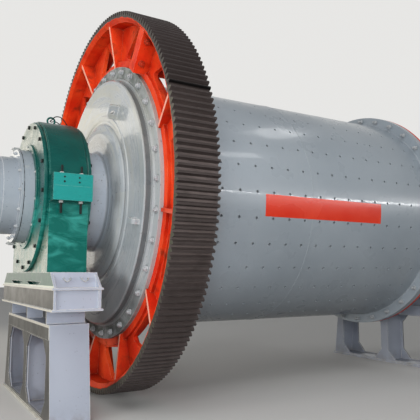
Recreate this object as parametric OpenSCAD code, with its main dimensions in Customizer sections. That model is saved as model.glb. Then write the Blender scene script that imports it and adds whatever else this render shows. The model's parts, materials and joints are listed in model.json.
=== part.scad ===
// Ball mill with a flanged shell, two bolted heads with hollow trunnions, a split spur girth gear
// and two trunnion bearings on fabricated pedestals.
// Millimetres. Origin on the floor under the middle of the shell, +X to the feed end, +Z up.

/* [Shell] */
// Height of the mill axis above the floor
axis_h = 2500; // [2480:5:2700]
// Inside diameter of the shell
shell_bore = 3200; // [3150:5:3240]
// Shell plate thickness
shell_t = 36; // [25:1:42]
// Length of the shell over its two flanges
shell_len = 4640; // [4500:10:4800]
// Height of a shell flange over the shell plate
flange_h = 149; // [130:1:160]
// Thickness of one shell flange
flange_t = 100; // [70:5:120]
// Liner bolt holes around the shell
liner_rows = 32; // [24:2:36]
// Rings of liner bolt holes on each side of the middle ring
liner_cols = 8; // [4:1:8]
// Distance of the last ring of liner bolt holes from the shell's end
liner_edge = 320; // [240:5:400]
// Diameter of a liner bolt hole
liner_hole = 36; // [24:1:44]

/* [Heads] */
// Thickness of a head's flange
head_flange_t = 45; // [35:1:60]
// Bolts in the joint of head and shell
head_bolts = 32; // [24:4:40]
// Distance of the head bolts from the flange's outer edge
head_bolt_edge = 70; // [60:1:80]
// Diameter of the head bolt holes
head_bolt_hole = 42; // [30:1:48]
// Width of the flange's face outside the raised disc
flange_land = 185; // [160:5:200]
// Rise of the raised disc over the flange
disc_rise = 100; // [80:5:120]
// Wall of the head behind the raised disc
head_wall = 90; // [70:5:110]
// Diameter of the shoulder around the trunnion
shoulder_d = 2060; // [1900:10:2200]
// Rise of the shoulder over the raised disc
shoulder_rise = 55; // [40:5:80]
// Width of the shoulder's slope
shoulder_slope = 200; // [150:5:240]

/* [Trunnions] */
// Diameter of the trunnion journal
journal_d = 1268; // [1240:2:1300]
// Step from the journal in to the trunnion's outer part
neck_step = 59; // [45:1:70]
// Bore through the trunnion
trunnion_bore = 880; // [820:5:890]
// Distance from a bearing's middle to the trunnion's outer end
trunnion_out = 410; // [390:5:440]
// Outside diameter of the spout tube
spout_d = 950; // [940:2:970]
// Wall of the spout tube
spout_wall = 25; // [16:1:36]
// Length of the spout beyond the trunnion's end
spout_len = 270; // [200:5:390]
// Thickness of the spout flange
spout_flange_t = 30; // [20:1:40]
// Bolts in a spout flange
spout_bolts = 14; // [12:2:24]
// Diameter of the spout bolt holes
spout_bolt_hole = 26; // [18:1:30]

/* [Girth gear] */
// Module of the gear
gear_module = 24; // [23.6:0.1:24.2]
// Teeth of the gear
gear_teeth = 202; // [198:2:202]
// Face width of the gear
gear_w = 480; // [440:5:520]
// Distance of the gear's middle plane inside the shell's end
gear_set_in = 65; // [55:1:75]
// Thickness of the rim under the tooth roots
rim_t = 74; // [60:1:90]
// Chamfer on the rim's inner edges
rim_chamfer = 45; // [30:1:55]
// Thickness of the web
web_t = 50; // [36:1:70]
// Thickness of the hub ring around the shell flange
hub_wall = 85; // [75:1:105]
// Thickness of the hub lip behind the shell flange
lip_t = 55; // [40:1:65]
// Spaces between the ribs around the gear
gear_bays = 12; // [12:2:16]
// Thickness of a rib
rib_t = 40; // [28:1:50]
// Height of a rib over the hub ring at its inner end
rib_foot = 30; // [20:1:50]
// Set-back of the ribs and joint plates from the rim's faces
rib_set_back = 25; // [10:1:40]
// Angle of the gear's joint around the axis
joint_angle = 129; // [100:1:150]
// Thickness of one joint plate
joint_plate_t = 75; // [60:1:85]
// Diameter of the joint bolt holes
joint_bolt_hole = 40; // [30:1:64]
// Distance of the joint bolts from the rim and from the hub ring
joint_bolt_edge = 95; // [80:1:120]
// Half angle of a web window at the hub
window_angle = 8; // [6:0.1:9]
// Corner radius of a web window
window_corner = 34; // [20:1:50]
// Web left between a window and the hub ring or the rim
window_edge = 24; // [15:1:60]

/* [Bearings] */
// Distance of a bearing's middle from the shell's end
bearing_out = 780; // [770:1:800]
// Height of the mill axis over a bearing seat's underside
seat_h = 940; // [920:5:980]
// Width of the bearing housing
housing_w = 436; // [420:2:450]
// Width of the cap's rim outside the end covers
cap_rim = 15; // [5:1:40]
// Thickness of the cap's wall
cap_wall = 60; // [40:2:90]
// Length of the bearing seat across the mill
seat_len = 1920; // [1880:10:2000]
// Length of the joint flanges across the mill
joint_len = 2240; // [2160:10:2280]
// Thickness of the cap's joint flange
cap_flange_t = 140; // [100:5:160]
// Thickness of the seat's joint flange
seat_flange_t = 160; // [120:5:200]
// Radial thickness of the bearing bush
bush_t = 70; // [50:1:90]
// Set-back of the bush from the housing's faces
bush_inset = 8; // [5:1:20]
// Running clearance between journal and bush
run_gap = 0.3; // [0.2:0.05:0.5]
// Height of the end covers over the seat's underside
cover_foot = 10; // [5:1:30]
// Thickness of an end cover
cover_t = 52; // [40:1:60]
// Gap between an end cover and the trunnion
cover_gap = 6; // [5:1:12]
// Bolt holes in an end cover
cover_holes = 16; // [12:2:20]
// Distance of the end cover holes from the cover's edge
cover_bolt_edge = 54; // [40:1:70]
// Diameter of the end cover holes
cover_hole = 32; // [20:1:40]
// Radial step from the journal out to the seal ring's edge
seal_step = 16; // [12:1:30]
// Thickness of the seal ring on the outer cover
seal_t = 25; // [15:1:35]
// Outside diameter of the lifting eye
eye_d = 118; // [100:2:150]
// Thickness of the lifting eye's ring
eye_t = 24; // [20:1:36]
// Diameter of the lifting eye's boss
eye_boss_d = 70; // [60:1:90]

/* [Supports] */
// Width of the pedestal along the mill
pedestal_w = 424; // [400:4:480]
// Length of the pedestal at its top
pedestal_top_len = 2240; // [2200:10:2300]
// Length of the pedestal at its base
pedestal_base_len = 2560; // [2500:10:2640]
// Depth of the pedestal's top band
band_h = 170; // [140:5:190]
// Width of the post between the pedestal's windows
post_w = 150; // [120:5:200]
// Width of the pedestal's end posts at the top
end_post_w = 100; // [80:5:140]
// Length of the cut corners of the pedestal's windows
post_cut_len = 150; // [100:5:200]
// Height of the cut corners of the pedestal's windows
post_cut_h = 160; // [100:5:200]
// Plate thickness of the pedestal
plate_t = 30; // [20:1:40]
// Distance of the anchor holes from the pedestal's sides
anchor_edge = 90; // [80:1:110]
// Distance of the anchor holes in from the ends of the pedestal's windows
anchor_in = 160; // [120:5:200]
// Diameter of the anchor holes
anchor_hole = 48; // [30:1:60]
// Height of the riser
riser_h = 150; // [120:5:170]
// Length of the riser
riser_len = 1960; // [1900:10:2100]
// Width of the riser
riser_w = 422; // [400:2:430]
// Plate thickness of the riser
riser_t = 40; // [30:1:50]
// Height of the saddle beam
beam_h = 240; // [200:5:260]
// Length of the saddle beam
beam_len = 2830; // [2700:10:2900]
// Width of the saddle beam
beam_w = 536; // [500:2:560]
// Plate thickness of the saddle beam's flanges
beam_flange_t = 22; // [14:1:30]
// Lip of the saddle beam's flanges over its web plates
beam_lip = 18; // [10:1:30]
// Thickness of the saddle beam's side plates
beam_side_t = 26; // [16:1:40]
// Set-back of the saddle beam's end plates
beam_set_back = 22; // [10:1:40]
// Height of the sole block
sole_h = 160; // [140:5:180]
// Distance of the sole block's top from the saddle beam's end
sole_inset = 175; // [120:5:200]
// Width of the sole block
sole_w = 500; // [480:2:520]
// Slope of the sole block's end faces, from top to bottom
sole_slope = 60; // [40:1:80]
// Reach of the end gussets beyond the block's top
sole_gusset = 160; // [120:5:170]
// Thickness of an end gusset
sole_gusset_t = 26; // [16:1:40]
// Length of a recess in the sole block's side
sole_bay = 740; // [600:10:800]
// Width of the rib between two recesses
sole_rib = 210; // [160:10:260]
// Height of a recess in the sole block's side over its lower edge
sole_bay_h = 38; // [30:1:60]
// Depth of a recess in the sole block's side
sole_bay_depth = 60; // [40:1:80]

/* [Hidden] */
$fn = 96;

shell_ri = shell_bore / 2;
shell_ro = shell_ri + shell_t;
flange_r = shell_ro + flange_h;
face_x = shell_len / 2;
liner_pitch = (face_x - liner_edge) / liner_cols;
weld_x = liner_pitch / 2;
head_bolt_r = flange_r - head_bolt_edge;
liner_phase = -1.25;
bolt_phase = -2;
spout_phase = -1.7;
cover_phase = 2;
disc_r = flange_r - flange_land;
shoulder_r = shoulder_d / 2;
journal_r = journal_d / 2;
neck_r = journal_r - neck_step;
bore_r = trunnion_bore / 2;
spout_r = spout_d / 2;
spout_bolt_r = (spout_r + neck_r) / 2;
bearing_x = face_x + bearing_out;
trunnion_end = bearing_x + trunnion_out;
spout_end = trunnion_end + spout_len;
disc_x = face_x + head_flange_t + disc_rise;
step_x = disc_x + shoulder_rise;
journal_end = bearing_x + housing_w / 2 + cover_t - cover_gap;
gear_x = face_x - gear_set_in;
pitch_r = gear_module * gear_teeth / 2;
tip_r = pitch_r + gear_module;
root_r = pitch_r - 1.25 * gear_module;
rim_r = root_r - rim_t;
hub_r = flange_r + hub_wall;
hub_front = face_x;
hub_back = face_x - flange_t - lip_t;
rib_pitch = 360 / gear_bays;
joint_bolt_radii = [rim_r - joint_bolt_edge, hub_r + joint_bolt_edge];
joint_bolt_off = gear_w / 2 - joint_bolt_edge;
bush_r = journal_r + run_gap + bush_t;
cover_r = seat_h - cover_foot;
cap_r = cover_r + cap_rim;
seat_z = axis_h - seat_h;
sole_z = seat_z - sole_h;
beam_z = sole_z - beam_h;
pedestal_h = beam_z - riser_h;

// A profile of [radius, distance along the mill] turned about the mill's axis
module turned(p) {
  translate([0, 0, axis_h])
    rotate([0, 90, 0])
      rotate_extrude($fn = 128)
        polygon(p);
}

// A flat outline drawn around the axis and made thick along the mill from x0 to x1
module around(x0, x1) {
  translate([x0, 0, axis_h])
    rotate([0, 90, 0])
      linear_extrude(height = x1 - x0)
        children();
}

// A disc of radius r about the mill's axis from x0 to x1
module disc(r, x0, x1) {
  translate([x0, 0, axis_h])
    rotate([0, 90, 0])
      cylinder(r = r, h = x1 - x0, $fn = 128);
}

// A hole parallel to the axis at radius r and angle t from +Y to +Z
module axial_hole(r, t, d, x0, x1) {
  translate([x0, r * cos(t), axis_h + r * sin(t)])
    rotate([0, 90, 0])
      cylinder(d = d, h = x1 - x0, $fn = 24);
}

// A point of an outline drawn by around() at radius r and angle t
function pol(r, t) = [-r * sin(t), r * cos(t)];

// Feed end copy of what is drawn at the drive end
module at_feed() {
  mirror([1, 0, 0])
    children();
}

// One course of the shell from x0 to x1, with its rings of liner bolt holes from c0 to c1
module course(x0, x1, c0, c1) {
  difference() {
    turned([[shell_ri, x0], [shell_ro, x0], [shell_ro, x1], [shell_ri, x1]]);
    for (c = [c0 : c1])
      for (k = [0 : liner_rows - 1])
        translate([c * liner_pitch, 0, axis_h])
          rotate([k * 360 / liner_rows + liner_phase, 0, 0])
            translate([0, 0, shell_ri - 20])
              cylinder(d = liner_hole, h = shell_t + 40, $fn = 16);
  }
}

module shell_drive_course() {
  color("slategray") course(-face_x, -weld_x, -liner_cols, -1);
}

module shell_feed_course() {
  color("slategray") course(-weld_x, face_x, 0, liner_cols);
}

// Ring welded on a shell end, drilled for the head bolts
module shell_ring() {
  difference() {
    turned([
      [shell_ro, -face_x],
      [flange_r, -face_x],
      [flange_r, -face_x + flange_t],
      [shell_ro + 12, -face_x + flange_t],
      [shell_ro, -face_x + flange_t + 12]
    ]);
    for (k = [0 : head_bolts - 1])
      axial_hole(head_bolt_r, k * 360 / head_bolts + bolt_phase, head_bolt_hole,
        -face_x - 10, -face_x + flange_t + 10);
  }
}

module shell_flange_drive() {
  color("lightslategray") shell_ring();
}

module shell_flange_feed() {
  color("lightslategray") at_feed() shell_ring();
}

// Cast head with its hollow trunnion
module head() {
  arc = [for (a = [0 : 15 : 90])
    [journal_r + 46 - 46 * sin(a), -step_x - 46 + 46 * cos(a)]];
  outer = concat(
    [
      [flange_r, -face_x],
      [flange_r, -face_x - head_flange_t],
      [disc_r + 45, -face_x - head_flange_t],
      [disc_r + 35, -face_x - head_flange_t - 12],
      [disc_r + 12, -face_x - head_flange_t - 14],
      [disc_r, -face_x - head_flange_t - 24],
      [disc_r, -disc_x + 14],
      [disc_r - 14, -disc_x],
      [shoulder_r + 110, -disc_x],
      [shoulder_r + 100, -disc_x - 9],
      [shoulder_r + 55, -disc_x - 9],
      [shoulder_r + 30, -disc_x],
      [shoulder_r, -disc_x],
      [shoulder_r - shoulder_slope * 0.10, -disc_x - shoulder_rise * 0.30],
      [shoulder_r - shoulder_slope * 0.31, -disc_x - shoulder_rise * 0.62],
      [shoulder_r - shoulder_slope * 0.65, -disc_x - shoulder_rise * 0.86],
      [shoulder_r - shoulder_slope, -step_x],
    ],
    arc,
    [
      [journal_r, -journal_end + 4],
      [journal_r - 4, -journal_end],
      [neck_r, -journal_end],
      [neck_r, -trunnion_end],
      [bore_r, -trunnion_end],
      [bore_r, -step_x],
      [bore_r + 120, -disc_x + head_wall],
      [shell_ri - 60, -disc_x + head_wall],
      [shell_ri, -face_x]
    ]
  );
  difference() {
    turned(outer);
    for (k = [0 : head_bolts - 1])
      axial_hole(head_bolt_r, k * 360 / head_bolts + bolt_phase, head_bolt_hole,
        -face_x - head_flange_t - 10, -face_x + 10);
    for (k = [0 : spout_bolts - 1])
      axial_hole(spout_bolt_r, k * 360 / spout_bolts + spout_phase, spout_bolt_hole,
        -trunnion_end - 10, -trunnion_end + 70);
  }
}

module head_drive() {
  color("silver") head();
}

module head_feed() {
  color("silver") at_feed() head();
}

// Spout tube bolted on a trunnion's end
module spout() {
  difference() {
    turned([
      [spout_r - spout_wall, -trunnion_end],
      [neck_r, -trunnion_end],
      [neck_r, -trunnion_end - spout_flange_t],
      [spout_r, -trunnion_end - spout_flange_t],
      [spout_r, -spout_end + 64],
      [spout_r - 6, -spout_end + 60],
      [spout_r - 6, -spout_end],
      [spout_r - spout_wall, -spout_end]
    ]);
    for (k = [0 : spout_bolts - 1])
      axial_hole(spout_bolt_r, k * 360 / spout_bolts + spout_phase, spout_bolt_hole,
        -trunnion_end - spout_flange_t - 10, -trunnion_end + 10);
  }
}

module spout_drive() {
  color("lightsteelblue") spout();
}

module spout_feed() {
  color("lightsteelblue") at_feed() spout();
}

// Half space on one side of the gear's joint
module gear_half_space(a) {
  translate([-gear_x, 0, axis_h])
    rotate([a, 0, 0])
      translate([-gear_w, -tip_r - 50, 0])
        cube([2 * gear_w, 2 * tip_r + 100, tip_r + 50]);
}

// Outline of the toothed rim, four points a tooth
function gear_outline() = [
  for (k = [0 : gear_teeth - 1])
    for (q = [
      [root_r, -0.333], [pitch_r, -0.25], [tip_r, -0.135],
      [tip_r, 0.135], [pitch_r, 0.25], [root_r, 0.333]
    ])
      pol(q[0], joint_angle + (k + 0.5 + q[1]) * 360 / gear_teeth)
];

// Space inside the rim, widened by the chamfers on its two edges
module rim_space() {
  w = gear_w / 2;
  turned([
    [0, -gear_x - w - 10],
    [rim_r + rim_chamfer + 10, -gear_x - w - 10],
    [rim_r, -gear_x - w + rim_chamfer],
    [rim_r, -gear_x + w - rim_chamfer],
    [rim_r + rim_chamfer + 10, -gear_x + w + 10],
    [0, -gear_x + w + 10]
  ]);
}

module gear_rim() {
  difference() {
    around(-gear_x - gear_w / 2, -gear_x + gear_w / 2)
      polygon(gear_outline());
    rim_space();
  }
}

module gear_rim_upper() {
  color("dimgray")
    intersection() {
      gear_rim();
      gear_half_space(joint_angle - 180);
    }
}

module gear_rim_lower() {
  color("dimgray")
    intersection() {
      gear_rim();
      gear_half_space(joint_angle);
    }
}

// Points of an arc about [u, v] from angle a to angle b, u outwards and v around the axis
function arc(u, v, r, a, b, n = 4) = [
  for (i = [0 : n])
    let (c = a + (b - a) * i / n)
      [-v - r * sin(c), u + r * cos(c)]
];

// Three-cornered window with round corners, its middle at angle t
module web_window(t) {
  low = hub_r + window_edge + window_corner;
  high = rim_r - window_edge - window_corner;
  half = low * sin(window_angle) - window_corner;
  side = atan2(high - low, half);
  around(-gear_x - web_t, -gear_x + web_t)
    rotate(t)
      polygon(concat(
        arc(low, half, window_corner, 180, side),
        arc(high, 0, window_corner, side, -side, 6),
        arc(low, -half, window_corner, -side, -180)
      ));
}

// One rib pair across the web at angle t, with a foot on the hub ring's front and back
module rib(t) {
  foot_r = flange_r + 12;
  front = hub_front - gear_x;
  back = gear_x - hub_back;
  edge = gear_w / 2 - rib_set_back;
  translate([-gear_x, 0, axis_h])
    rotate([t, 0, 0])
      translate([0, 0, -rib_t / 2])
        linear_extrude(height = rib_t)
          polygon([
            [-front + 10, hub_r - 10], [-front, foot_r + 8], [-front, foot_r],
            [-front - rib_foot, foot_r], [-edge, rim_r], [-edge, rim_r + rim_chamfer],
            [edge, rim_r + rim_chamfer], [edge, rim_r], [back + rib_foot, foot_r],
            [back, foot_r], [back, foot_r + 8], [back - 10, hub_r - 10]
          ]);
}

module gear_web() {
  difference() {
    union() {
      turned([
        [flange_r + 2, -hub_front],
        [hub_r, -hub_front],
        [hub_r, -gear_x - web_t / 2],
        [rim_r, -gear_x - web_t / 2],
        [rim_r, -gear_x + web_t / 2],
        [hub_r, -gear_x + web_t / 2],
        [hub_r, -hub_back],
        [shell_ro + 14, -hub_back],
        [shell_ro + 14, -face_x + flange_t],
        [flange_r + 2, -face_x + flange_t]
      ]);
      intersection() {
        rim_space();
        union() {
          for (k = [0 : gear_bays - 1])
            if (k % (gear_bays / 2) != 0)
              rib(joint_angle + k * rib_pitch);
          for (a = [joint_angle, joint_angle + 180])
            translate([-gear_x, 0, axis_h])
              rotate([a, 0, 0])
                translate([rib_set_back - gear_w / 2, hub_r - 30, -joint_plate_t])
                  cube([gear_w - 2 * rib_set_back, rim_r - hub_r + 30 + rim_chamfer,
                    2 * joint_plate_t]);
        }
      }
    }
    for (k = [0 : gear_bays - 1])
      web_window(joint_angle + (k + 0.5) * rib_pitch);
    for (k = [0 : head_bolts - 1])
      axial_hole(head_bolt_r, k * 360 / head_bolts + bolt_phase, head_bolt_hole,
        -hub_front, -hub_back + 10);
    for (a = [joint_angle, joint_angle + 180])
      for (r = joint_bolt_radii)
        for (s = [-1, 1])
          translate([-gear_x + s * joint_bolt_off, 0, axis_h])
            rotate([a, 0, 0])
              translate([0, r, -joint_plate_t - 10])
                cylinder(d = joint_bolt_hole, h = 2 * joint_plate_t + 20, $fn = 32);
  }
}

module gear_web_upper() {
  color("orangered")
    intersection() {
      gear_web();
      gear_half_space(joint_angle - 180);
    }
}

module gear_web_lower() {
  color("orangered")
    intersection() {
      gear_web();
      gear_half_space(joint_angle);
    }
}

// Corner points of an octagonal opening
function octagon(y0, y1, z0, z1, cy, cz) = [
  [y0 + cy, z0], [y1 - cy, z0], [y1, z0 + cz], [y1, z1 - cz],
  [y1 - cy, z1], [y0 + cy, z1], [y0, z1 - cz], [y0, z0 + cz]
];

// An outline in Y and Z made thick along the mill from x0 to x1
module across(x0, x1) {
  translate([x0, 0, 0])
    rotate([90, 0, 90])
      linear_extrude(height = x1 - x0)
        children();
}

// Pedestal built of plates, open through its two windows
module pedestal() {
  x0 = -bearing_x - pedestal_w / 2;
  x1 = -bearing_x + pedestal_w / 2;
  top = pedestal_top_len / 2;
  base = pedestal_base_len / 2;
  mid = post_w / 2;
  win = top - end_post_w;
  z1 = pedestal_h - band_h;
  difference() {
    union() {
      across(x0, x1)
        polygon([
          [-base, 0], [base, 0],
          [base - 30, plate_t], [top, pedestal_h],
          [-top, pedestal_h], [-base + 30, plate_t]
        ]);
      across(x0 - 5, x1 + 5)
        polygon([
          [-top - 2, z1 + 14], [top + 2, z1 + 14],
          [top, pedestal_h], [-top, pedestal_h]
        ]);
      translate([x0 - 15, -base - 15, 0])
        cube([pedestal_w + 30, 2 * base + 30, plate_t - 4]);
    }
    for (s = [-1, 1])
      across(x0 - 20, x1 + 20)
        polygon(octagon(
          s > 0 ? mid : -win, s > 0 ? win : -mid,
          plate_t + 20, z1, post_cut_len, post_cut_h));
    for (s = [-1, 1])
      across(x0 + plate_t, x1 - plate_t)
        polygon([
          [s * mid * 0.4, plate_t], [s * (base - 75), plate_t],
          [s * (top - plate_t - 6), pedestal_h - plate_t], [s * mid * 0.4, pedestal_h - plate_t]
        ]);
    for (s = [-1, 1])
      for (u = [-1, 1])
        translate([-bearing_x + u * (pedestal_w / 2 - anchor_edge), s * (win - anchor_in), -10])
          cylinder(d = anchor_hole, h = plate_t + 40, $fn = 32);
  }
}

module pedestal_drive() {
  color("lightslategray") pedestal();
}

module pedestal_feed() {
  color("lightslategray") at_feed() pedestal();
}

// Riser of end plates, a middle plate and a web
module riser() {
  w = riser_w / 2;
  l = riser_len / 2;
  translate([-bearing_x - riser_t / 2, -l, pedestal_h])
    cube([riser_t, riser_len, riser_h]);
  for (y = [-l, -riser_t / 2, l - riser_t])
    translate([-bearing_x - w, y, pedestal_h])
      cube([riser_w, riser_t, riser_h]);
}

module riser_drive() {
  color("lightslategray") riser();
}

module riser_feed() {
  color("lightslategray") at_feed() riser();
}

// Closed box beam with lips on its flanges and end plates set back between its side plates
module saddle_beam() {
  w = beam_w / 2;
  l = beam_len / 2;
  side = l - beam_lip;
  for (z = [beam_z, sole_z - beam_flange_t])
    translate([-bearing_x - w, -l, z])
      cube([beam_w, beam_len, beam_flange_t]);
  difference() {
    translate([-bearing_x - w + beam_lip, -side, beam_z + 1])
      cube([beam_w - 2 * beam_lip, 2 * side, beam_h - 2]);
    for (s = [-1, 1])
      translate([-bearing_x, s * side, beam_z + beam_h / 2])
        cube([beam_w - 2 * beam_lip - 2 * beam_side_t, 2 * beam_set_back,
          beam_h - 2 * beam_flange_t], center = true);
  }
}

module saddle_beam_drive() {
  color("lightslategray") saddle_beam();
}

module saddle_beam_feed() {
  color("lightslategray") at_feed() saddle_beam();
}

// Sole block under a bearing seat, with recesses in its sides and two gussets on each end
module sole_block() {
  w = sole_w / 2;
  l = beam_len / 2 - sole_inset;
  top = sole_z + sole_h;
  difference() {
    across(-bearing_x - w, -bearing_x + w)
      polygon([[-l - sole_slope, sole_z], [l + sole_slope, sole_z], [l, top], [-l, top]]);
    for (s = [-1, 1])
      for (u = [-1, 1])
        across(-bearing_x + u * w - sole_bay_depth, -bearing_x + u * w + sole_bay_depth)
          translate([s * (sole_rib + sole_bay) / 2, sole_z + 20])
            polygon([
              [-sole_bay * 0.29, 0], [sole_bay * 0.29, 0],
              [sole_bay / 2, sole_bay_h], [-sole_bay / 2, sole_bay_h]
            ]);
  }
  for (x = [-w, w - sole_gusset_t])
    for (s = [-1, 1])
      across(-bearing_x + x, -bearing_x + x + sole_gusset_t)
        polygon([
          [s * (l - 40), sole_z], [s * (l + sole_gusset), sole_z],
          [s * (l + sole_gusset), sole_z + 10], [s * l, top - 12], [s * (l - 40), top - 12]
        ]);
}

module sole_block_drive() {
  color("lightslategray") sole_block();
}

module sole_block_feed() {
  color("lightslategray") at_feed() sole_block();
}

// Lower half of the bearing housing
module bearing_seat() {
  x0 = -bearing_x - housing_w / 2;
  x1 = -bearing_x + housing_w / 2;
  l = seat_len / 2;
  j = joint_len / 2;
  difference() {
    across(x0, x1)
      polygon([
        [-l, seat_z], [l, seat_z],
        [l, axis_h - seat_flange_t - 20], [l + 20, axis_h - seat_flange_t],
        [j, axis_h - seat_flange_t], [j, axis_h], [-j, axis_h], [-j, axis_h - seat_flange_t],
        [-l - 20, axis_h - seat_flange_t], [-l, axis_h - seat_flange_t - 20]
      ]);
    disc(bush_r, x0 - 10, x1 + 10);
  }
}

module bearing_seat_drive() {
  color("teal") bearing_seat();
}

module bearing_seat_feed() {
  color("teal") at_feed() bearing_seat();
}

// Upper half of the bearing housing, hollow over the bush
module bearing_cap() {
  w = housing_w / 2;
  j = joint_len / 2;
  difference() {
    union() {
      turned([
        [0, -bearing_x - w],
        [cap_r - 12, -bearing_x - w],
        [cap_r, -bearing_x - w + 12],
        [cap_r, -bearing_x + w - 12],
        [cap_r - 12, -bearing_x + w],
        [0, -bearing_x + w]
      ]);
      translate([-bearing_x - w, -j, axis_h])
        cube([housing_w, 2 * j, cap_flange_t]);
    }
    disc(bush_r, -bearing_x - w - 10, -bearing_x + w + 10);
    disc(cap_r - cap_wall, -bearing_x - w + cap_wall, -bearing_x + w - cap_wall);
    translate([-bearing_x - w - 20, -j - 20, axis_h - 2 * cap_r])
      cube([housing_w + 40, 2 * j + 40, 2 * cap_r]);
  }
}

module bearing_cap_drive() {
  color("teal") bearing_cap();
}

module bearing_cap_feed() {
  color("teal") at_feed() bearing_cap();
}

// Full bush around the journal
module bearing_bush() {
  w = housing_w / 2 - bush_inset;
  turned([
    [journal_r + run_gap, -bearing_x - w],
    [bush_r, -bearing_x - w],
    [bush_r, -bearing_x + w],
    [journal_r + run_gap, -bearing_x + w]
  ]);
}

module bearing_bush_drive() {
  color("darkkhaki") bearing_bush();
}

module bearing_bush_feed() {
  color("darkkhaki") at_feed() bearing_bush();
}

// Drilled ring cover turned from a profile
module end_cover(p, x0, x1) {
  difference() {
    turned(p);
    for (k = [0 : cover_holes - 1])
      axial_hole(cover_r - cover_bolt_edge, k * 360 / cover_holes + cover_phase, cover_hole,
        x0 - 10, x1 + 10);
  }
}

// Profile of a ring cover's edge between x0 and x1
function cover_edge(x0, x1) = [
  [cover_r - 10, x1], [cover_r, (x0 + x1) / 2 + 6],
  [cover_r, (x0 + x1) / 2 - 6], [cover_r - 10, x0]
];

// Cover on the housing's outer face, with the seal ring round the trunnion's outer part
module end_cover_outer() {
  x1 = -bearing_x - housing_w / 2;
  x0 = x1 - cover_t;
  end_cover(concat(
    [[journal_r + cover_gap, x0], [journal_r + cover_gap, x1]],
    cover_edge(x0, x1),
    [
      [journal_r + seal_step, x0], [journal_r + seal_step, x0 - seal_t + 3],
      [journal_r + seal_step - 3, x0 - seal_t],
      [neck_r + cover_gap, x0 - seal_t], [neck_r + cover_gap, x0]
    ]
  ), x0, x1);
}

module end_cover_inner() {
  x0 = -bearing_x + housing_w / 2;
  x1 = x0 + cover_t;
  end_cover(concat(
    [[journal_r + cover_gap, x0], [journal_r + cover_gap, x1]],
    cover_edge(x0, x1)
  ), x0, x1);
}

module end_cover_drive_outer() {
  color("darkcyan") end_cover_outer();
}

module end_cover_drive_inner() {
  color("darkcyan") end_cover_inner();
}

module end_cover_feed_inner() {
  color("darkcyan") at_feed() end_cover_inner();
}

module end_cover_feed_outer() {
  color("darkcyan") at_feed() end_cover_outer();
}

// Lifting eye on the crown of a bearing cap
module lifting_eye() {
  r = (eye_d - eye_t) / 2;
  difference() {
    translate([-bearing_x, 0, axis_h + cap_r]) {
      translate([0, 0, -5])
        cylinder(d = eye_boss_d, h = 22, $fn = 48);
      translate([0, 0, eye_t / 2 + 2 + r])
        rotate([90, 0, 0])
          rotate_extrude($fn = 64)
            translate([r, 0])
              circle(d = eye_t, $fn = 24);
    }
    disc(cap_r + run_gap, -bearing_x - eye_d, -bearing_x + eye_d);
  }
}

module lifting_eye_drive() {
  color("darkslategray") lifting_eye();
}

module lifting_eye_feed() {
  color("darkslategray") at_feed() lifting_eye();
}

shell_drive_course();
shell_feed_course();
shell_flange_drive();
shell_flange_feed();
head_drive();
head_feed();
spout_drive();
spout_feed();
gear_rim_upper();
gear_rim_lower();
gear_web_upper();
gear_web_lower();
pedestal_drive();
pedestal_feed();
riser_drive();
riser_feed();
saddle_beam_drive();
saddle_beam_feed();
sole_block_drive();
sole_block_feed();
bearing_seat_drive();
bearing_seat_feed();
bearing_cap_drive();
bearing_cap_feed();
bearing_bush_drive();
bearing_bush_feed();
end_cover_drive_outer();
end_cover_drive_inner();
end_cover_feed_inner();
end_cover_feed_outer();
lifting_eye_drive();
lifting_eye_feed();
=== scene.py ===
import json
import math
import random

import bmesh
import bpy
from mathutils import Matrix, Vector


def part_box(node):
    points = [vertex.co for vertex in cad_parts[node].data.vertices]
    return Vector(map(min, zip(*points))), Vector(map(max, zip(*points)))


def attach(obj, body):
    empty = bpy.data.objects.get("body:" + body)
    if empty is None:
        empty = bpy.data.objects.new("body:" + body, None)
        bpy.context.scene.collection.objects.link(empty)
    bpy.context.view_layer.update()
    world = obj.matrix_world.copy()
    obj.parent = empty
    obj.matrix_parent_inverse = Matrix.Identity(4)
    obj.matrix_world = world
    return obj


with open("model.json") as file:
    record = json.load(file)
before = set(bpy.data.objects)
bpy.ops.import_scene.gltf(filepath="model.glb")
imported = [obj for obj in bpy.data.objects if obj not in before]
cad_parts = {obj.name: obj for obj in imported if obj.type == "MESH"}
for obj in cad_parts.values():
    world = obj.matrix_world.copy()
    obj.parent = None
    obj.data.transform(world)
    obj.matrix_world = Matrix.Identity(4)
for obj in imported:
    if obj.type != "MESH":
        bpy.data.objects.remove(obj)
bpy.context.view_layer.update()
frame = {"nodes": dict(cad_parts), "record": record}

# The two ends of the mill, and the sign of X there
ENDS = (("drive", -1), ("feed", 1))

# Sizes read from the frame, with the plates' thicknesses that go with them, in metres
shell_low, shell_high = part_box("shell_drive_course")
AXIS_Z = (shell_low[2] + shell_high[2]) / 2
SHELL_R = (shell_high[2] - shell_low[2]) / 2
FACE_X = -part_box("head_drive")[1][0]
WELD_X = -shell_high[0]
FLANGE_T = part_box("shell_flange_drive")[1][0] + FACE_X
SEAL_END = -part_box("end_cover_drive_outer")[0][0]
BEARING_X = -(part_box("bearing_bush_drive")[0][0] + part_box("bearing_bush_drive")[1][0]) / 2
HOUSING_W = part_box("bearing_seat_drive")[1][0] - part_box("bearing_seat_drive")[0][0]
TRUNNION_END = -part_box("head_drive")[0][0]
CAP_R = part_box("bearing_cap_drive")[1][2] - AXIS_Z
SOLE_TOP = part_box("sole_block_drive")[1][2]
SOLE_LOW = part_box("sole_block_drive")[0][2]
SOLE_SIDE = (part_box("sole_block_drive")[1][0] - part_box("sole_block_drive")[0][0]) / 2
SOLE_GUSSET = 0.160
SOLE_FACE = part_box("sole_block_drive")[1][1] - SOLE_GUSSET
RECESS_DEPTH = 0.060
JOINT_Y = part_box("bearing_cap_drive")[1][1]
BEAM_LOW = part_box("saddle_beam_drive")[0][2]
PEDESTAL_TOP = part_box("pedestal_drive")[1][2]
PLATE_T = 0.030
LIP_T = 0.022
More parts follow.
